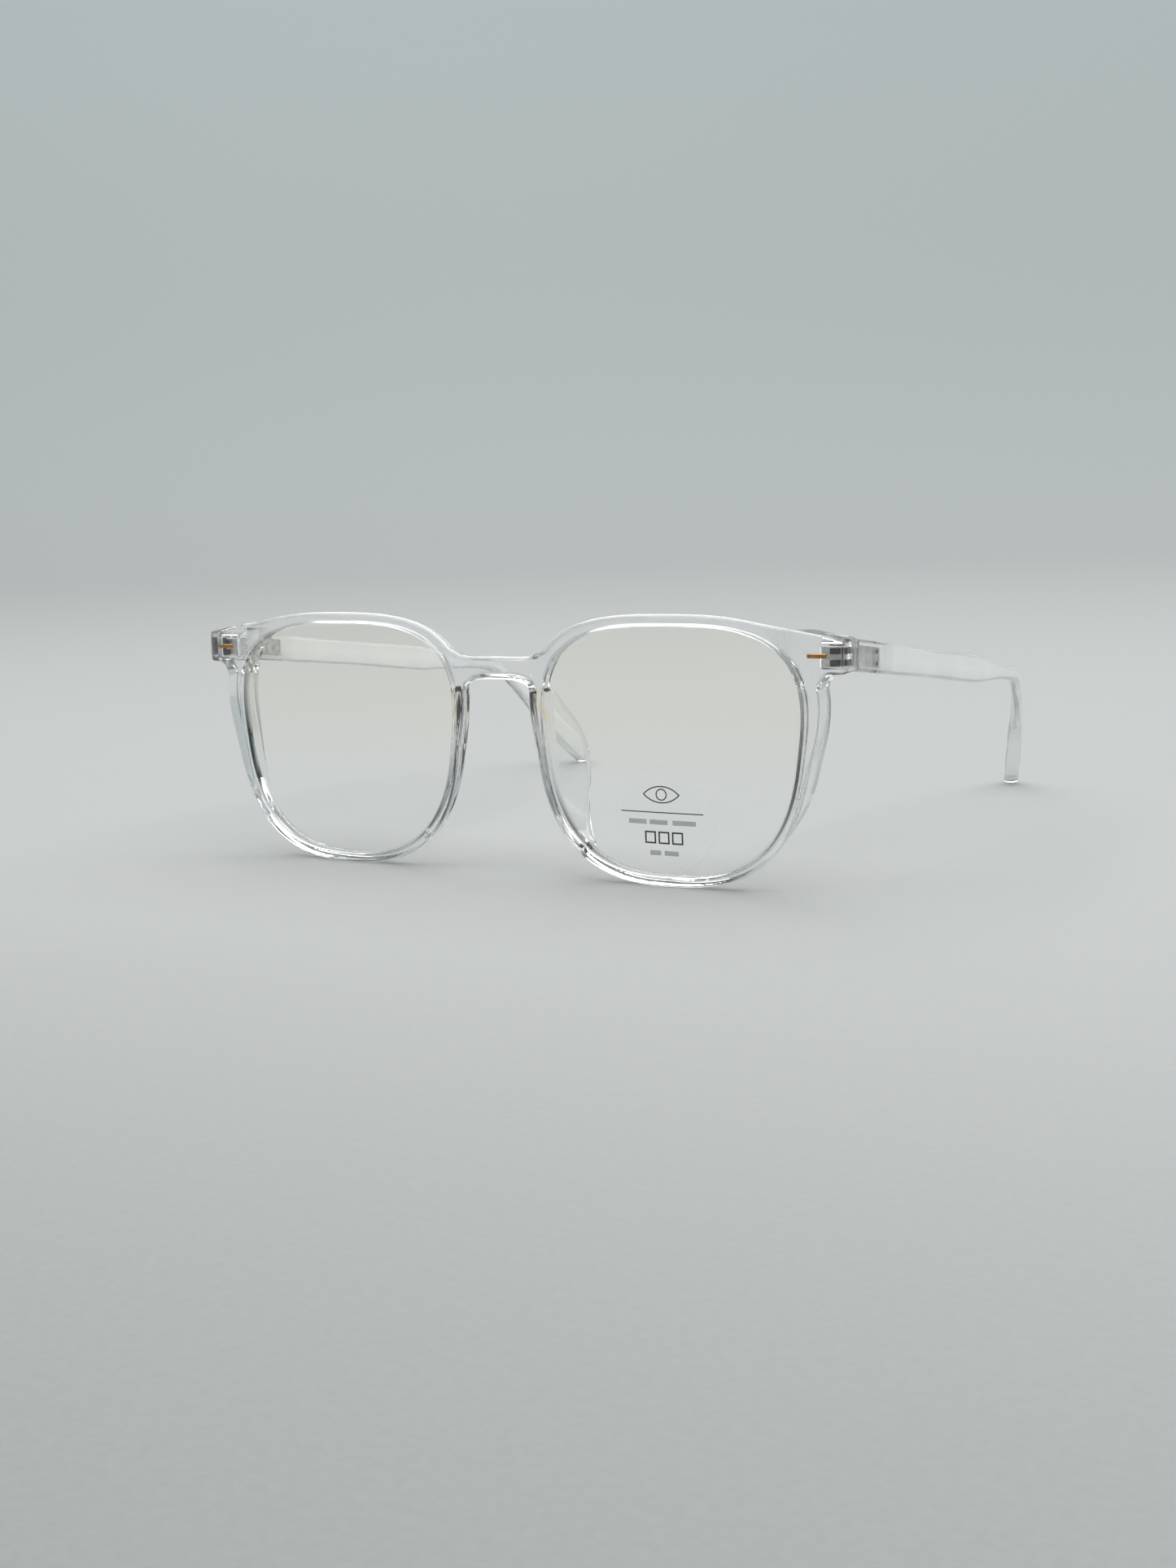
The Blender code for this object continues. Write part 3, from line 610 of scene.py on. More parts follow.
def crossed_cells(values, axes):
    """One point for each cell that the surface crosses, and one face for each grid edge that it crosses.

    A cell's point is the mean of the places where the surface cuts the cell's twelve edges. The face of an
    edge joins the points of the four cells round it, turned so that it looks out of the plastic.
    """
    inside = values < 0
    corners = [(a, b, c) for a in (0, 1) for b in (0, 1) for c in (0, 1)]
    n = [len(a) - 1 for a in axes]

    def corner(array, k):
        return array[k[0]:k[0] + n[0], k[1]:k[1] + n[1], k[2]:k[2] + n[2]]

    count = sum(corner(inside, k).astype(np.int8) for k in corners)
    cells = np.argwhere((count > 0) & (count < 8))
    number = np.full(n, -1)
    number[tuple(cells.T)] = np.arange(len(cells))

    points, hits = np.zeros((len(cells), 3)), np.zeros(len(cells))
    for k in corners:
        for axis in range(3):
            if k[axis]:
                continue
            far = np.array(k) + np.eye(3, dtype=int)[axis]
            a, b = values[tuple((cells + k).T)], values[tuple((cells + far).T)]
            cut = (a < 0) != (b < 0)
            share = np.where(cut, a / np.where(cut, a - b, 1.0), 0.0)
            low = np.stack([axes[d][cells[:, d] + k[d]] for d in range(3)], 1)
            low[:, axis] += share * (axes[axis][1] - axes[axis][0])
            points += low * cut[:, None]
            hits += cut
    points /= hits[:, None]

    faces = []
    for axis in range(3):
        b, c = (axis + 1) % 3, (axis + 2) % 3
        first = np.moveaxis(inside, axis, 0)
        change = np.argwhere(np.moveaxis(first[:-1] != first[1:], 0, axis))
        inner = [(change[:, d] > 0) & (change[:, d] < n[d]) for d in (b, c)]
        change = change[inner[0] & inner[1]]
        eb, ec = np.eye(3, dtype=int)[b], np.eye(3, dtype=int)[c]
        ring = [number[tuple((change - shift).T)] for shift in (eb + ec, ec, 0 * eb, eb)]
        quad = np.stack(ring, 1)
        leaving = inside[tuple(change.T)]
        quad[~leaving] = quad[~leaving][:, ::-1]
        faces.append(quad)
    return points, np.concatenate(faces)


def slope_of(body, points, step=0.01):
    """Gradient of body at the points, by central differences."""
    parts = []
    for axis in np.eye(3) * step:
        ahead, behind = (points + axis).T, (points - axis).T
        parts.append((body(*ahead) - body(*behind)) / (2 * step))
    return np.stack(parts, 1)


def pull_onto(body, points, rounds=2):
    """Newton steps along the slope, none longer than half a cell."""
    for _ in range(rounds):
        slope = slope_of(body, points)
        move = body(*points.T)[:, None] * slope / np.maximum((slope**2).sum(1), 0.05)[:, None]
        length = np.linalg.norm(move, axis=1)[:, None]
        points = points - move * np.minimum(1.0, CELL / 2 / np.maximum(length, 1e-9))
    return points


def evened(points, faces):
    """Each point moved halfway to the middle of its neighbours, so that no face is thin."""
    total, share = np.zeros_like(points), np.zeros(len(points))
    for k in range(4):
        for near in (1, 3):
            np.add.at(total, faces[:, k], points[faces[:, (k + near) % 4]])
            np.add.at(share, faces[:, k], 1.0)
    return points + 0.5 * (total / share[:, None] - points)


def surface_of(body, reach_x, span_y, span_z):
    """Points, quads and outward normals of body = 0, for a body whose two sides are alike.

    Only one side is worked out, and the other is its mirror image.
    """
    x = np.arange(0.0, reach_x + CELL, CELL)
    y, z = (np.arange(low, high + CELL, CELL) for low, high in (span_y, span_z))
    half = body(x[:, None, None], y[None, :, None], z[None, None, :])
    values = np.concatenate([half[:0:-1], half])
    points, faces = crossed_cells(values, (np.concatenate([-x[:0:-1], x]), y, z))
    points = pull_onto(body, points)
    for _ in range(2):
        points = pull_onto(body, evened(points, faces), rounds=1)
    slope = slope_of(body, points)
    return points, faces, slope / np.linalg.norm(slope, axis=1)[:, None]


front_points, front_faces, front_normals = surface_of(
    front_body, HALF_WIDTH + 0.6, (-0.65, 11.0), (-0.7, 50.3))
print(f"front: {len(front_points)} points, {len(front_faces)} quads, box {front_points.min(0).round(2)} to "
      f"{front_points.max(0).round(2)} mm, off the formula by at most "
      f"{np.abs(front_body(*front_points.T)).max():.3f} mm")

# %% [markdown]
# ## Clear plastic
#
# The plastic is water clear with a breath of milk in it, and its broad faces look whiter than the wall behind
# them. The clear part is one transmitting shader. Over it lies a second, matt white one, by a share that is a
# faint even haze all over plus a painted sheen, greatest on the rims' top bars and along the blades, where
# the light makes the plastic look white. Faces that look up get less of it, because the overhead light would
# turn the veil into white paint there. Beside the nose the plastic has yellowed a little. The polish is
# uneven: fine handling marks in the roughness, and the slow ripple of a moulded surface in the bump.

# %% Finish of the frame and temples
CLEAR, CLOUDY, YELLOWED = (0.996, 1.0, 1.0), (0.984, 0.99, 0.99), (1.0, 0.9, 0.7)
# The veil's white is a faint real haze all over and, on the top bars and blades, a painted sheen.
HAZE_AND_SHEEN_WHITE = (0.97, 0.985, 0.985)
MILK_ALL_OVER, PAINTED_SHEEN_ON_TOP, PAINTED_SHEEN_ON_BLADE = 0.03, 0.5, 0.34


def clear_plastic():
    """Clear, with a faint haze and a painted white sheen on the top bars and the temples behind their hinges.
    """
    finish = Finish("clear_plastic", ior=1.53, transmission_weight=1.0)
    x, y, z = finish.place()
    marks = finish.noise(1.1, detail=4.0, rough=0.65)
    cloud = finish.noise(16.0, detail=1.0)
    ripple = finish.noise(8.0, detail=1.0)
    # painted sheen: the top bars and the blades get most of the white veil, where light makes the plastic
    # look white
    top = z.ramp(39.5, 43.5) * abs(x).ramp(60.0, 54.0) * y.ramp(9.0, 6.0)
    blade = y.ramp(19.0, 27.0)
    faces_up = abs(finish.normal_up())
    patches = (top * PAINTED_SHEEN_ON_TOP + blade * PAINTED_SHEEN_ON_BLADE) * (0.85 + cloud * 0.3)
    haze_and_painted_sheen = MILK_ALL_OVER + patches * (1 - 0.85 * faces_up)
    colour = finish.mix(cloud.ramp(0.3, 0.7), CLEAR, CLOUDY)
    beside_nose = abs(x).ramp(10.4, 9.6) * z.ramp(27.0, 31.0) * z.ramp(37.0, 34.5) * y.ramp(4.5, 3.5)
    colour = finish.mix(beside_nose * finish.noise(2.5).ramp(0.4, 0.6), colour, YELLOWED)
    finish.set(base_color=colour, roughness=0.004 + marks.ramp(0.45, 0.8) * 0.02,
               normal=finish.bump(ripple, 0.12, 0.05))
    return finish.veil(haze_and_painted_sheen, base_color=HAZE_AND_SHEEN_WHITE, roughness=0.35)


CLEAR_PLASTIC = clear_plastic()
front_piece = put_mesh("front_moulding", front_points, front_faces, CLEAR_PLASTIC, "front",
                       ["front_frame"], "clear_plastic", front_normals)
print("front moulding:", len(front_piece.data.polygons), "faces")

# %% [markdown]
# ## Lenses
#
# A lens is a thin dome whose edge stands in the groove. It is a polar grid: rings grow from the middle to the
# edge over the front face, pass round a small bevel and shrink back over the rear face. Its finish is clear
# with a coat that cuts blue light, which leaves a warm tint that fades towards the foot. A fine dark line of
# painted shade lies on the outer edge along part of the groove, where refraction draws a dark line. How dark
# it is at each point is an attribute of the mesh, because it follows the outline and not the axes.

# %% Shape of a lens
LENS_THICKNESS, LENS_DOME, LENS_BITE, LENS_BEVEL = 1.15, 0.7, 0.5, 0.18
DOME_REACH_X, DOME_REACH_Z = 26.0, 24.0


def lens_face(x, z):
    """Depth of the lens's front face: furthest forward in the middle, level with the groove at the edge."""
    reach = ((x - EYE_X) / DOME_REACH_X) ** 2 + ((z - EYE_Z) / DOME_REACH_Z) ** 2
    middle = (GROOVE_FRONT + GROOVE_BACK) / 2 - LENS_THICKNESS / 2
    return middle - LENS_DOME * np.clip(1 - reach, -0.2, 1) + bow(x)


def lens_points(columns=288, rings=26):
    """Rows of a polar grid over both faces, then the two poles."""
    outline, normal, _ = eye_outline(columns)
    edge = outline + normal * LENS_BITE
    middle = np.array([EYE_X, EYE_Z])
    share = np.linspace(0.0, 1.0, rings + 1)[1:] ** 0.9
    inner = middle + (edge - normal * LENS_BEVEL - middle) * share[:, None, None]
    bevel = edge[None]
    flat = np.concatenate([inner, bevel, bevel, inner[::-1]])
    depth = lens_face(flat[..., 0], flat[..., 1])
    back = np.repeat([0.0, LENS_BEVEL, LENS_THICKNESS - LENS_BEVEL, LENS_THICKNESS], [rings, 1, 1, rings])
    rows = np.stack([flat[..., 0], depth + back[:, None], flat[..., 1]], -1)
    face = float(lens_face(EYE_X, EYE_Z))
    poles = np.array([[EYE_X, face, EYE_Z], [EYE_X, face + LENS_THICKNESS, EYE_Z]])
    return rows, poles


def closed_by_poles(rows, poles):
    """Points and faces of a grid of rings with a triangle fan at each end."""
    count, columns = rows.shape[:2]
    points = np.concatenate([rows.reshape(-1, 3), poles])
    faces = grid_faces(count, columns, capped=False)
    ring = np.arange(columns)
    ahead = np.roll(ring, -1)
    last = (count - 1) * columns
    first_pole, last_pole = count * columns, count * columns + 1
    faces += np.stack([np.full(columns, first_pole), ahead, ring], 1).tolist()
    faces += np.stack([np.full(columns, last_pole), last + ring, last + ahead], 1).tolist()
    return points, faces


def mirrored(points, faces):
    """The same piece on the other side: x is negated and every face is turned round."""
    return np.asarray(points) * (-1, 1, 1), [list(f)[::-1] for f in faces]


def outward(points, faces):
    """Faces turned so that they point outwards, judged by the volume that they enclose."""
    volume = 0.0
    points = np.asarray(points)
    for size in (3, 4):
        group = np.array([f for f in faces if len(f) == size])
        for k in range(1, size - 1) if len(group) else ():
            a, b, c = points[group[:, 0]], points[group[:, k]], points[group[:, k + 1]]
            volume += (a * np.cross(b, c)).sum()
    return faces if volume > 0 else [list(f)[::-1] for f in faces]


# %% Lens finish
# The last colour is painted shade: a near-black line on the lens's outer edge, seen along the groove.
UNTINTED, WARM_TINT, PAINTED_EDGE_SHADE = (0.998, 1.0, 1.0), (1.0, 0.988, 0.942), (0.015, 0.017, 0.02)


def lens_tint():
    """Clear below, warm above, smeared a little, and nearly black where shade is painted on the outer edge.
    """
    finish = Finish("lens_tint", ior=1.15, transmission_weight=1.0, roughness=0.0)
    x, _, z = finish.place()
    upper = z.ramp(15.0, 30.0)
    smear = finish.noise(14.0, detail=2.0)
    coat = finish.mix(upper * (0.85 + smear * 0.3), UNTINTED, WARM_TINT)
    # painted shade: a mesh attribute that darkens the outer edge into a fine dark line
    edge = finish.node("ShaderNodeAttribute", {"attribute_name": "painted_edge_shade"}, output=2)
    return finish.set(base_color=finish.mix(edge, coat, PAINTED_EDGE_SHADE),
                      roughness=smear.ramp(0.55, 0.9) * 0.02)


def painted_edge_shade(points):
    """Painted shade on the lens: a dark band on the outer 0.3 mm, mostly on the side of the temple and low at
    the nose.
    """
    outwards, angle = from_outline(np.abs(points[:, 0]), points[:, 2])
    band = smooth(outwards, LENS_BITE - 0.32, LENS_BITE - 0.22)
    return band * np.maximum(swell(angle, -8, 42), 0.8 * swell(angle, -142, 22))


LENS_TINT = lens_tint()
lens_rows, lens_poles = lens_points()
lens_mesh = closed_by_poles(lens_rows, lens_poles)
lens_mesh = lens_mesh[0], outward(*lens_mesh)
for side, shape in (("left", lens_mesh), ("right", mirrored(*lens_mesh))):
    sheet = put_mesh(f"lens_sheet_{side}", *shape, LENS_TINT, "front", [f"lens_{side}"], "tinted_lens")
    shade = sheet.data.attributes.new("painted_edge_shade", "FLOAT", "POINT")
    shade.data.foreach_set("value", painted_edge_shade(lens_mesh[0]))
print("lens:", len(lens_mesh[1]), "faces each")

# %% [markdown]
# ## Temples
#
# A temple is a soft rectangle carried along a path. The path is walked in small steps: its slope turns down
# round the ear and its heading turns inwards towards the tip, both along S-curves. The blade's outer face
# stays flush with the front's side, and its inner face has a round hollow where the hinge barrel turns.

# %% Path of a temple
TEMPLE_START, TEMPLE_LENGTH, TEMPLE_THICK = 7.8, 146.0, 3.0
TEMPLE_SLOPE, EAR_SLOPE, EAR_BEND_AT, EAR_BEND_SPAN = 7.2, 42.5, 98.0, 13.0
TIP_YAW, TIP_YAW_AT, TIP_YAW_SPAN, TIP_ROUND, TEMPLE_EDGE = 19.0, 90.0, 34.0, 2.4, 0.75
TEMPLE_START_LIFT, MITRE_ROUND, TIP_SOFTER = 0.1, 0.35, 0.7
BARREL_RADIUS, BARREL_ROOM = 1.3, 0.3


def temple_path(count=3000):
    """Distances walked, points and headings from the mitre to the tip."""
    s = np.linspace(0.0, TEMPLE_LENGTH, count)
    round_ear = smooth(s, EAR_BEND_AT, EAR_BEND_AT + EAR_BEND_SPAN)
    slope = np.radians(TEMPLE_SLOPE + (EAR_SLOPE - TEMPLE_SLOPE) * round_ear)
    yaw = np.radians(TIP_YAW * smooth(s, TIP_YAW_AT, TIP_YAW_AT + TIP_YAW_SPAN))
    heading = np.stack([-np.sin(yaw) * np.cos(slope), np.cos(yaw) * np.cos(slope), -np.sin(slope)], 1)
    start = np.array([[HALF_WIDTH - TEMPLE_THICK / 2, TEMPLE_START, HINGE_Z + TEMPLE_START_LIFT]])
    step = TEMPLE_LENGTH / (count - 1)
    points = np.concatenate([start, start + np.cumsum(heading[:-1] * step, axis=0)])
    return s, points, heading


def temple_height(s):
    """Height of the blade: even, a little taller before the ear, slim at the bend, broader at the tip."""
    blade = 5.7 - 0.4 * smooth(s, 5, 40) + 0.4 * smooth(s, 45, 66)
    slim = blade - (blade - 3.0) * smooth(s, 68, 92)
    return slim + 2.4 * smooth(s, 112, 132)


def temple_thickness(s):
    """Thickness of the blade: thinner behind the hinge, and thicker again at the tip, behind the ear."""
    return TEMPLE_THICK - 0.5 * smooth(s, 20, 60) + 0.9 * smooth(s, 112, 134)


print("heights:", temple_height(np.array([0, 40, 66, 92, 140])).round(2), "mm from the mitre to the tip")

# %% Skin of a temple
def soft_rectangle(half_wide, half_high, radius, corner=9):
    """Rows of points (across, up) round rectangles with quarter-circle corners; the sizes are arrays."""
    quarters = [np.radians(np.linspace(start, start + 90, corner)) for start in (0, 90, 180, 270)]
    turn = np.concatenate(quarters)
    sign_a, sign_b = np.repeat([1, -1, -1, 1], corner), np.repeat([1, 1, -1, -1], corner)
    wide, high, r = (np.reshape(v, (-1, 1)) for v in (half_wide, half_high, radius))
    return sign_a * (wide - r) + r * np.cos(turn), sign_b * (high - r) + r * np.sin(turn)


def temple_skin():
    """Rows of a grid: stations along the path, each a soft rectangle, drawn in at the mitre and the tip.

    The stations are close together on the mitre's small round and on the dome of the tip. There the section
    shrinks as sqrt(1 - t^2), which makes a quarter of a circle.
    """
    s, path, headings = temple_path()
    dome = TEMPLE_LENGTH - TIP_ROUND
    mitre = MITRE_ROUND * (1 - np.cos(np.radians([0, 25, 50, 75])))
    tip = TEMPLE_LENGTH - TIP_ROUND * (1 - np.sin(np.radians([0, 12, 24, 36, 48, 60, 70, 78, 84, 88])))
    at = np.concatenate([mitre, np.linspace(0.4, 20, 57), np.linspace(20.5, dome - 0.4, 250), tip])
    centre = np.stack([np.interp(at, s, path[:, k]) for k in range(3)], 1)
    forward = np.stack([np.interp(at, s, headings[:, k]) for k in range(3)], 1)
    side = np.cross(forward, (0.0, 0.0, 1.0))
    side /= np.linalg.norm(side, axis=1)[:, None]
    lean = smooth(at, 0.0, 6.0)[:, None]
    up = np.cross(side, forward) * lean + np.array([0.0, 0.0, 1.0]) * (1 - lean)
    into_tip = np.maximum(at - dome, 0.0) / TIP_ROUND
    drawn_in = np.sqrt(np.maximum(1 - into_tip**2, 0.0))
    into_mitre = MITRE_ROUND - np.minimum(at, MITRE_ROUND)
    chamfer = MITRE_ROUND - np.sqrt(np.maximum(MITRE_ROUND**2 - into_mitre**2, 0.0))
    half_t, half_h = temple_thickness(at) / 2, temple_height(at) / 2
    centre[:, 0] += (TEMPLE_THICK / 2 - half_t) * (1 - smooth(at, TIP_YAW_AT, TIP_YAW_AT + TIP_YAW_SPAN))
    edge = np.minimum(half_t, TEMPLE_EDGE) + TIP_SOFTER * smooth(at, 90, 112)
    wide, high = half_t * drawn_in - chamfer, half_h * drawn_in - chamfer
    across, height = soft_rectangle(wide, high, np.minimum(edge * drawn_in, np.minimum(wide, high)))
    rows = centre[:, None] + side[:, None] * across[..., None] + up[:, None] * height[..., None]
    room = BARREL_RADIUS + BARREL_ROOM
    hollow = np.sqrt(np.maximum(room**2 - (rows[..., 1] - HINGE_Y) ** 2, 0.0))
    rows[..., 0] = np.where(hollow > 0, np.maximum(rows[..., 0], HINGE_X + hollow), rows[..., 0])
    return rows


temple_rows = temple_skin()
temple_faces = grid_faces(*temple_rows.shape[:2])
temple_shape = temple_rows.reshape(-1, 3), temple_faces
temple_shape = temple_shape[0], outward(*temple_shape)
for side, shape in (("left", temple_shape), ("right", mirrored(*temple_shape))):
    put_mesh(f"temple_blade_{side}", *shape, CLEAR_PLASTIC, f"temple_{side}", [f"temple_{side}"],
             "clear_plastic")
print(f"temple: {len(temple_faces)} faces, tip reaches y = {temple_rows[..., 1].max() + FRONT_Y:.2f} mm")

# %% [markdown]
# ## Metal in the plastic
#
# Each hinge has a stamped front leaf, whose two prongs are pressed into the end piece, and a temple leaf, a
# plate along the temple's inner side that two studs hold. Their barrels share one screw. The blocks are soft
# boxes (rounded rectangles carried along a straight line and drawn in at both ends), and the barrels and the
# screw are turned profiles. What sits in the plastic looks darker than the rest, because the holes round it
# trap light, so the finish paints that shade onto the prongs and the studs.

# %% Soft boxes and turned profiles
def soft_box(low, high, radius=0.12, corner=4, slope=0.0):
    """A box whose edges are rounded. Its rows run along Y; slope lowers it by that many mm per mm of y."""
    low, high = np.array(low, float), np.array(high, float)
    turn = np.radians(np.linspace(0, 90, corner))
    inset = radius * (1 - np.sin(turn))
    ends = radius * (1 - np.cos(turn))
    along = np.concatenate([low[1] + ends, high[1] - ends[::-1]])
    inset = np.concatenate([inset, inset[::-1]])
    half = (high - low) / 2
    across, up = soft_rectangle(half[0] - inset, half[2] - inset, np.maximum(radius - inset, 0.01), corner)
    middle = (low + high) / 2
    y = np.broadcast_to(along[:, None], across.shape)
    rows = np.stack([middle[0] + across, y, middle[2] + up - slope * (y - low[1])], -1)
    return rows.reshape(-1, 3), grid_faces(*across.shape)


def turned(profile, columns=48, axis=(0.0, 0.0)):
    """A closed profile of (radius, height) points turned about an upright axis: a ring-shaped body."""
    radius, height = np.asarray(profile, float).T
    turn = np.linspace(0, 2 * math.pi, columns, endpoint=False)[None]
    x, y = axis[0] + radius[:, None] * np.cos(turn), axis[1] + radius[:, None] * np.sin(turn)
    rows = np.stack([x, y, np.broadcast_to(height[:, None], x.shape)], -1)
    faces = grid_faces(len(radius), columns, capped=False)
    last = (len(radius) - 1) * columns
    ring = np.arange(columns)
    ahead = np.roll(ring, -1)
    faces += np.stack([last + ring, last + ahead, ahead, ring], 1).tolist()
    return rows.reshape(-1, 3), faces


def barrel(low, high, bore=0.55, edge=0.1):
    """A knuckle on the hinge axis, with softened rims and a bore."""
    r = BARREL_RADIUS
    profile = [(bore, low), (r - edge, low), (r - 0.03, low + 0.03), (r, low + edge), (r, high - edge),
               (r - 0.03, high - 0.03), (r - edge, high), (bore, high)]
    return turned(profile, axis=(HINGE_X, HINGE_Y))


def gathered(shapes):
    """Several closed bodies as one list of points and faces, each turned outwards."""
    points, faces, start = [], [], 0
    for p, f in shapes:
        points.append(np.asarray(p))
        faces += [[start + v for v in face] for face in outward(p, f)]
        start += len(p)
    return np.concatenate(points), faces


print("a soft box has", len(soft_box((0, 0, 0), (1, 1, 1))[1]), "faces, a knuckle", len(barrel(0, 1)[1]))

# %% Metal finishes
WORN, SUNK_PAINTED_SHADE = 0.72, 0.08


def stamped_steel(name, colour, roughness):
    """Metal with a drawn grain and worn patches; what is pressed into the plastic gets painted shade."""
    finish = Finish(name, metallic=1.0)
    x, y, _ = finish.place()
    grain = finish.noise(0.25, detail=3.0, stretch=(1.0, 6.0, 1.0))
    wear = finish.noise(1.2, detail=3.0)
    worn = finish.mix(wear.ramp(0.35, 0.7), colour, tuple(WORN * c for c in colour))
    # painted shade: the prongs and the studs are darkened, where the holes round them trap light
    prongs = (y - HINGE_Y).ramp(-2.0, -2.2) * y.ramp(1.2, 1.4)
    studs = (abs(x) - HALF_WIDTH).ramp(-2.8, -2.6)
    return finish.set(base_color=finish.mix(prongs.most(studs), worn, tuple(SUNK_PAINTED_SHADE * c for c in colour)),
                      roughness=roughness + grain * 0.18, normal=finish.bump(grain, 0.35, 0.01))


HINGE_STEEL = stamped_steel("hinge_steel", (0.78, 0.77, 0.75), 0.28)
SCREW_STEEL = stamped_steel("screw_steel", (0.55, 0.54, 0.53), 0.2)
ROSE_GOLD = stamped_steel("rose_gold", (0.55, 0.3, 0.12), 0.22)
print("metals:", [metal.material.name for metal in (HINGE_STEEL, SCREW_STEEL, ROSE_GOLD)])

# %% Front leaf, temple leaf and screw
LEAF_HALF, MIDDLE_HALF, KNUCKLE_GAP = 1.8, 0.65, 0.1
PRONG_X, PRONG_APART, PRONG_WIDE, PRONG_HIGH, LEAF_LENGTH = 65.7, 1.05, 0.5, 0.55, 12.5
SHANK, HEAD, SCREW_SLOT = 0.48, 1.05, 0.22
TEMPLE_INNER = HALF_WIDTH - TEMPLE_THICK
SLOPE = math.tan(math.radians(TEMPLE_SLOPE))


def front_leaf():
    """Plate with two knuckles behind it and two prongs in front of it."""
    low, high, gap = HINGE_Z - LEAF_HALF, HINGE_Z + LEAF_HALF, MIDDLE_HALF + KNUCKLE_GAP
    shapes = [soft_box((HINGE_X - 1.6, HINGE_Y - 1.95, low), (HINGE_X + 2.4, HINGE_Y - 1.35, high))]
    for a, b in ((low, HINGE_Z - gap), (HINGE_Z + gap, high)):
        shapes.append(soft_box((HINGE_X - 1.1, HINGE_Y - 1.5, a), (HINGE_X + 1.1, HINGE_Y - 0.6, b), 0.08))
        shapes.append(barrel(a, b))
    for z in (HINGE_Z - PRONG_APART, HINGE_Z + PRONG_APART):
        shapes.append(soft_box((PRONG_X - PRONG_WIDE, HINGE_Y - 3.0, z - PRONG_HIGH),
                               (PRONG_X + PRONG_WIDE, HINGE_Y - 1.8, z + PRONG_HIGH)))
    return gathered(shapes)


def temple_leaf():
    """Plate on the temple's inner side, its neck and middle knuckle, and two studs in the plastic."""
    low, high = HINGE_Z - MIDDLE_HALF + KNUCKLE_GAP, HINGE_Z + MIDDLE_HALF - KNUCKLE_GAP
    y0, y1 = HINGE_Y + 1.75, HINGE_Y + LEAF_LENGTH
    inner = TEMPLE_INNER - 0.65

    def blade_middle(y):
        return HINGE_Z + TEMPLE_START_LIFT - (y - TEMPLE_START) * SLOPE

    top = blade_middle(y0)
    shapes = [soft_box((inner, y0, top - 1.75), (TEMPLE_INNER + 0.05, y1, top + 1.75), slope=SLOPE),
              soft_box((inner, HINGE_Y + 0.75, low), (TEMPLE_INNER, HINGE_Y + 2.6, high), 0.06),
              barrel(low, high)]
    stud = [(0.02, -0.2), (0.36, -0.2), (0.45, -0.1), (0.45, 1.0), (0.34, 1.2), (0.02, 1.2)]
    for lift in (-PRONG_APART, PRONG_APART):
        y = y1 - 1.9
        points, faces = turned(stud, 24)
        shapes.append((points[:, [2, 0, 1]] + (TEMPLE_INNER, y, blade_middle(y) + lift), faces))
    return gathered(shapes)


def screw():
    """Shank and slotted head: a turned profile whose head top is pressed down along a narrow line."""
    foot, top = HINGE_Z - LEAF_HALF, HINGE_Z + LEAF_HALF
    outer = [(SHANK - 0.04, foot - 0.1), (SHANK, foot), (SHANK, top + 0.1), (HEAD - 0.08, top + 0.1),
             (HEAD, top + 0.2), (HEAD, top + 0.38), (HEAD - 0.07, top + 0.46)]
    crown = [(r, top + 0.5) for r in np.linspace(0.9, 0.04, 24)]
    points, faces = turned(outer + crown + [(0.03, foot - 0.1)], 96)
    x = points[:, 0]
    slot = (1 - smooth(np.abs(x), 0.1, 0.17)) * smooth(points[:, 2], top + 0.4, top + 0.48)
    points = points - np.stack([0 * x, 0 * x, SCREW_SLOT * slot], 1) + (HINGE_X, HINGE_Y, 0.0)
    return gathered([(points, faces)])


METAL_PIECES = (("front_leaf", front_leaf(), HINGE_STEEL, "hinge_steel"),
                ("temple_leaf", temple_leaf(), HINGE_STEEL, "hinge_steel"),
                ("screw", screw(), SCREW_STEEL, "screw_steel"))
for side in ("left", "right"):
    for name, shape, finish, slot in METAL_PIECES:
        body = f"temple_{side}" if name == "temple_leaf" else "front"
        put_mesh(f"{name}_{side}", *(mirrored(*shape) if side == "right" else shape), finish, body,
                 [f"hinge_{name}_{side}"], slot)
print("faces:", {name: len(shape[1]) for name, shape, _, _ in METAL_PIECES})

# %% [markdown]
# ## Gold dashes
#
# A short bar of rose gold is set into the face of each end piece. It is a soft box whose front is crowned, so
# that it catches the light along its middle.

# %% Shape of a dash
DASH_CROWN, DASH_EDGE, DASH_HALF_HEIGHT = 0.06, 0.14, 0.4


def gold_dash():
    """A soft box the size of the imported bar; its front bulges by c (1 - (z / h)^2)."""
    low, high = box_mm("gold_bar_left")
    low, high = low - (0, FRONT_Y, 0), high - (0, FRONT_Y, 0)
    points, faces = soft_box(low, high, DASH_EDGE, corner=6)
    up = (points[:, 2] - (low[2] + high[2]) / 2) / DASH_HALF_HEIGHT
    crown = DASH_CROWN * (1 - up**2).clip(0)
    points = points - np.stack([0 * crown, crown * (points[:, 1] < low[1] + 0.2), 0 * crown], 1)
    return gathered([(points, faces)])


dash = gold_dash()
for side, shape in (("left", dash), ("right", mirrored(*dash))):
    put_mesh(f"gold_dash_{side}", *shape, ROSE_GOLD, "front", [f"gold_bar_{side}"], "gold")
print("dash:", (dash[0].max(0) - dash[0].min(0)).round(2), "mm")

# %% [markdown]
# ## Round film on the lens
#
# New glasses carry a clear static film with a small print. The film is a thin disc that follows the lens. Its
# print is drawn by sums on the place of each point: an eye made of two arcs and a ring, a fine rule, and rows
# of plain blocks where a maker would put words.

# %% Film finish
label_low, label_high = box_mm("lens_label")
LABEL_RADIUS, LABEL_RISE = 10.0, 9.6
LABEL_X = (label_low[0] + label_high[0]) / 2
LABEL_Z = label_high[2] - LABEL_RISE
LABEL_CUT = label_low[2] - LABEL_Z
FILM_COLOUR, INK = (0.9, 0.91, 0.91), (0.03, 0.033, 0.036)
FAINT, HAIRLINE, PRINT_EDGE = 0.6, 0.22, 0.03


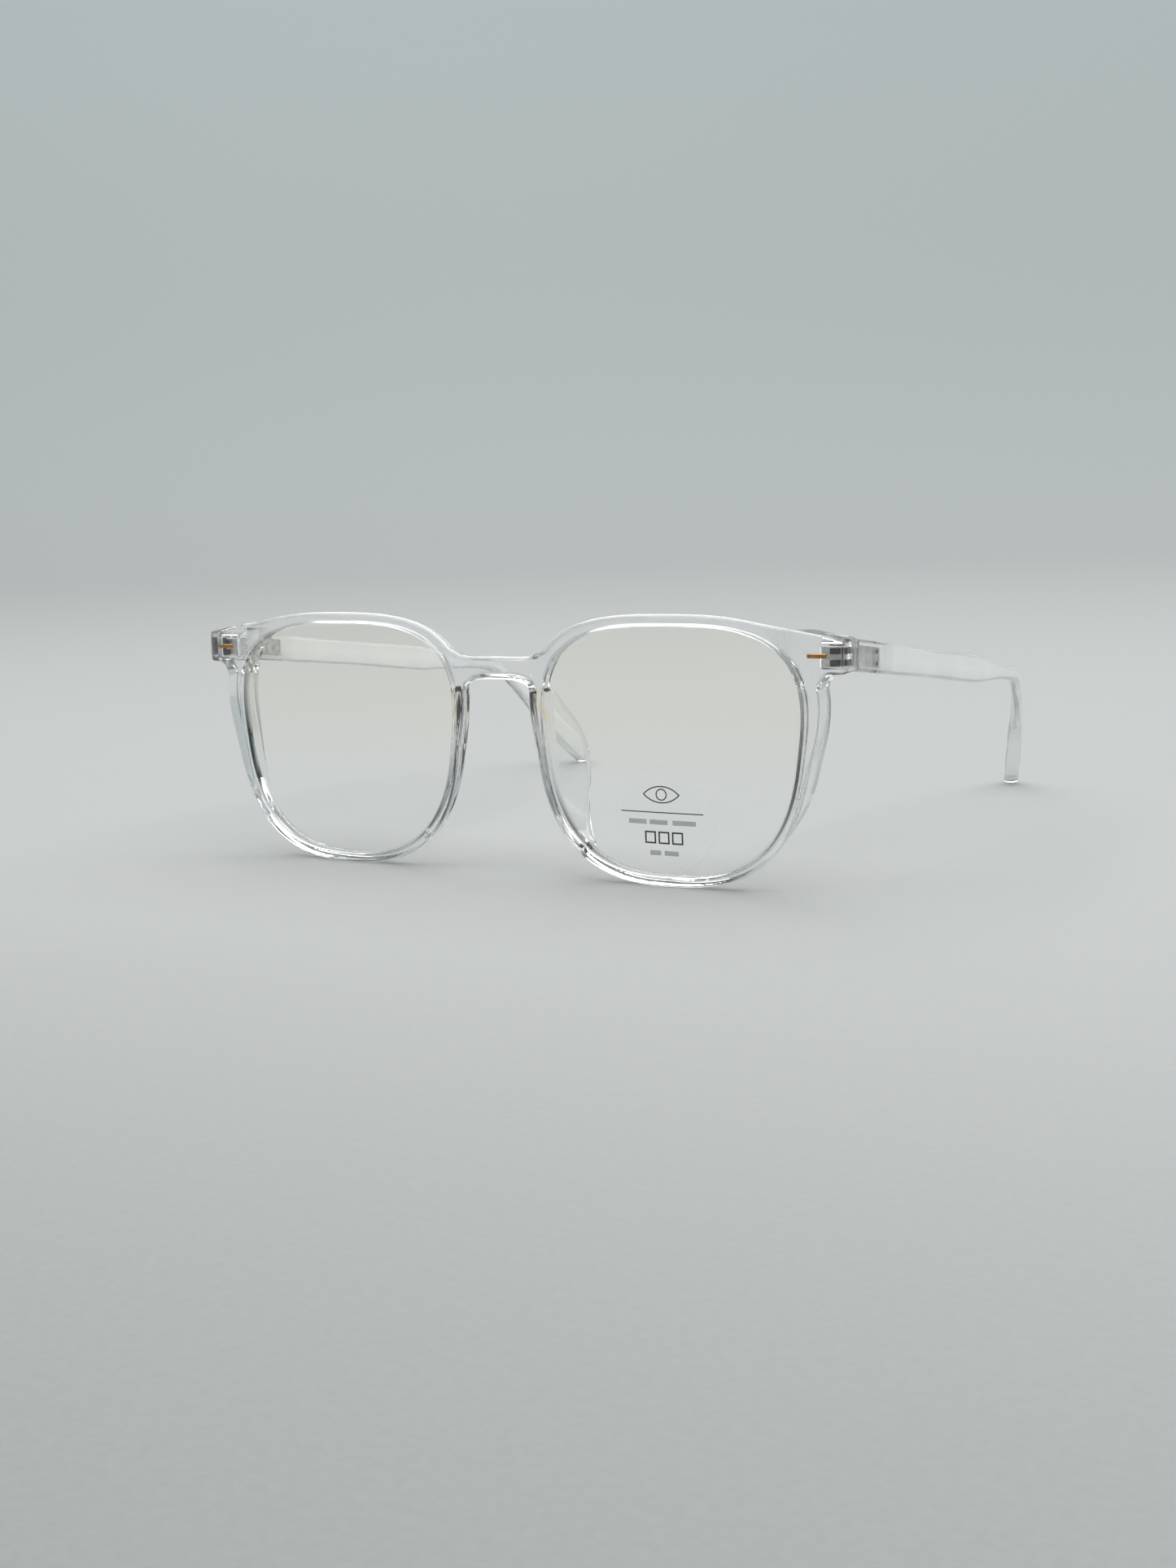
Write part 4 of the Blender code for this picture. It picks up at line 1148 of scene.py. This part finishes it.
def printed_film():
    """A film that is all but unseen, with a fine eye, a rule and rows of blocks printed on it."""
    finish = Finish("printed_film", ior=1.3, roughness=0.25)
    x, _, z = finish.place()
    x, z = x - LABEL_X, z - LABEL_Z

    def disc(cx, cz, radius):
        """Signed distance outside a circle."""
        return (((x - cx) ** 2.0 + (z - cz) ** 2.0) ** 0.5) - radius

    def line(distance, width):
        """1 on the curve where distance is 0, over that width."""
        return abs(distance).ramp(width / 2 + PRINT_EDGE, width / 2 - PRINT_EDGE)

    def block(cx, cz, wide, high):
        """1 inside a rectangle about (cx, cz)."""
        inside = (abs(x - cx) - wide / 2).most(abs(z - cz) - high / 2)
        return inside.ramp(PRINT_EDGE, -PRINT_EDGE)

    def frame_of(cx, cz, wide, high, stroke):
        """A block with its middle left clear."""
        return block(cx, cz, wide, high) - block(cx, cz, wide - 2 * stroke, high - 2 * stroke)

    lid = disc(-0.5, 1.5, 4.9).most(disc(-0.5, 8.3, 4.9))
    iris = line(disc(-0.5, 4.9, 1.0), HAIRLINE)
    print_mask = line(lid, HAIRLINE).most(iris).most(block(-0.5, 1.6, 16.4, 0.2))
    for cx, wide in ((-5.4, 3.6), (-1.2, 3.6), (3.9, 4.6)):
        print_mask = print_mask.most(block(cx, -0.2, wide, 0.9) * FAINT)
    for cx in (-2.9, -0.2, 2.5):
        print_mask = print_mask.most(frame_of(cx, -3.05, 2.2, 2.3, 0.3))
    for cx, wide in ((-2.0, 2.2), (1.2, 2.8)):
        print_mask = print_mask.most(block(cx, -5.9, wide, 0.9) * FAINT)
    rim = disc(0.0, 0.0, LABEL_RADIUS - 0.15).ramp(-0.1, 0.1)
    dust = finish.noise(0.8, detail=3.0)
    alpha = (0.03 + rim * 0.07 + dust.ramp(0.6, 0.8) * 0.03).most(print_mask * 0.85)
    return finish.set(base_color=finish.mix(print_mask, FILM_COLOUR, INK), alpha=alpha)


PRINTED_FILM = printed_film()
print("the print takes", len(PRINTED_FILM.tree.nodes), "nodes")


# %% Film shape
def film_points(columns=160, rings=22, gap=0.06, thick=0.08):
    """A polar grid over both faces of a disc that lies on the lens, cut straight where it meets the rim."""
    turn = np.linspace(0, 2 * math.pi, columns, endpoint=False)
    share = np.linspace(0, 1, rings + 1)[1:, None]
    x = LABEL_RADIUS * share * np.cos(turn)
    z = np.maximum(LABEL_RADIUS * share * np.sin(turn), LABEL_CUT)
    x, z = np.concatenate([x, x[::-1]]) + LABEL_X, np.concatenate([z, z[::-1]]) + LABEL_Z
    back = np.repeat([gap + thick, gap], rings)[:, None]
    rows = np.stack([x, lens_face(x, z) - back, z], -1)
    middle = float(lens_face(LABEL_X, LABEL_Z))
    poles = [[LABEL_X, middle - gap - thick, LABEL_Z], [LABEL_X, middle - gap, LABEL_Z]]
    return rows, np.array(poles)


film = closed_by_poles(*film_points())
put_mesh("printed_film", film[0], outward(*film), PRINTED_FILM, "front", ["lens_label"], "label_film")
print("film at x", LABEL_X.round(2), "z", LABEL_Z.round(2), "cut", LABEL_CUT.round(2))

# %% [markdown]
# ## Paper and the finish line
#
# The paper is matt and pale, with a little tooth. Light and shade are painted into its colour: it is palest
# round the glasses and darker in front of them, as under a light that stands behind. It also glows a little,
# most at the top of the wall: painted light that stands for the light that a real studio throws back.

# %% Paper finish
PAPER_PAINTED_SHADE, PAPER_PAINTED_LIGHT, PAPER_TOOTH = (0.096, 0.1025, 0.1015), (0.2, 0.208, 0.206), (0.4, 0.4, 0.4)
GLOW_BELOW, GLOW_ABOVE = (0.086, 0.0895, 0.0885), (0.2, 0.226, 0.229)


def matt_paper():
    """Matt paper with painted light: palest under the glasses, darker in front of them, and glowing a little
    on the wall.
    """
    finish = Finish("matt_paper", roughness=0.9, emission_strength=1.0)
    where = finish.node("ShaderNodeTexCoord", output=3)
    tooth = finish.node("ShaderNodeTexNoise", {}, {"Vector": where, "Scale": 900.0, "Detail": 2.0})
    x, y, z = (v * MM for v in finish.place())
    radius = (x * x + y * y) ** 0.5
    # painted light: a pool that is palest round the glasses and darker in front of them
    painted_light_pool = y.ramp(-0.34, 0.0).most(radius.ramp(0.3, 0.75)) - radius.ramp(0.1, 0.9) * 0.2
    # painted light: the paper glows, most on the upper wall, for light that the room throws back
    wall = radius.ramp(0.9, 2.4) + z.ramp(0.2, 1.1) * 0.9
    shade = finish.mix(painted_light_pool, PAPER_PAINTED_SHADE, PAPER_PAINTED_LIGHT)
    return finish.set(base_color=finish.mix(tooth * 0.1, shade, PAPER_TOOTH),
                      emission_color=finish.mix(wall, GLOW_BELOW, GLOW_ABOVE),
                      normal=finish.bump(tooth, 0.05, 0.1))


paper.data.materials.append(matt_paper().material)
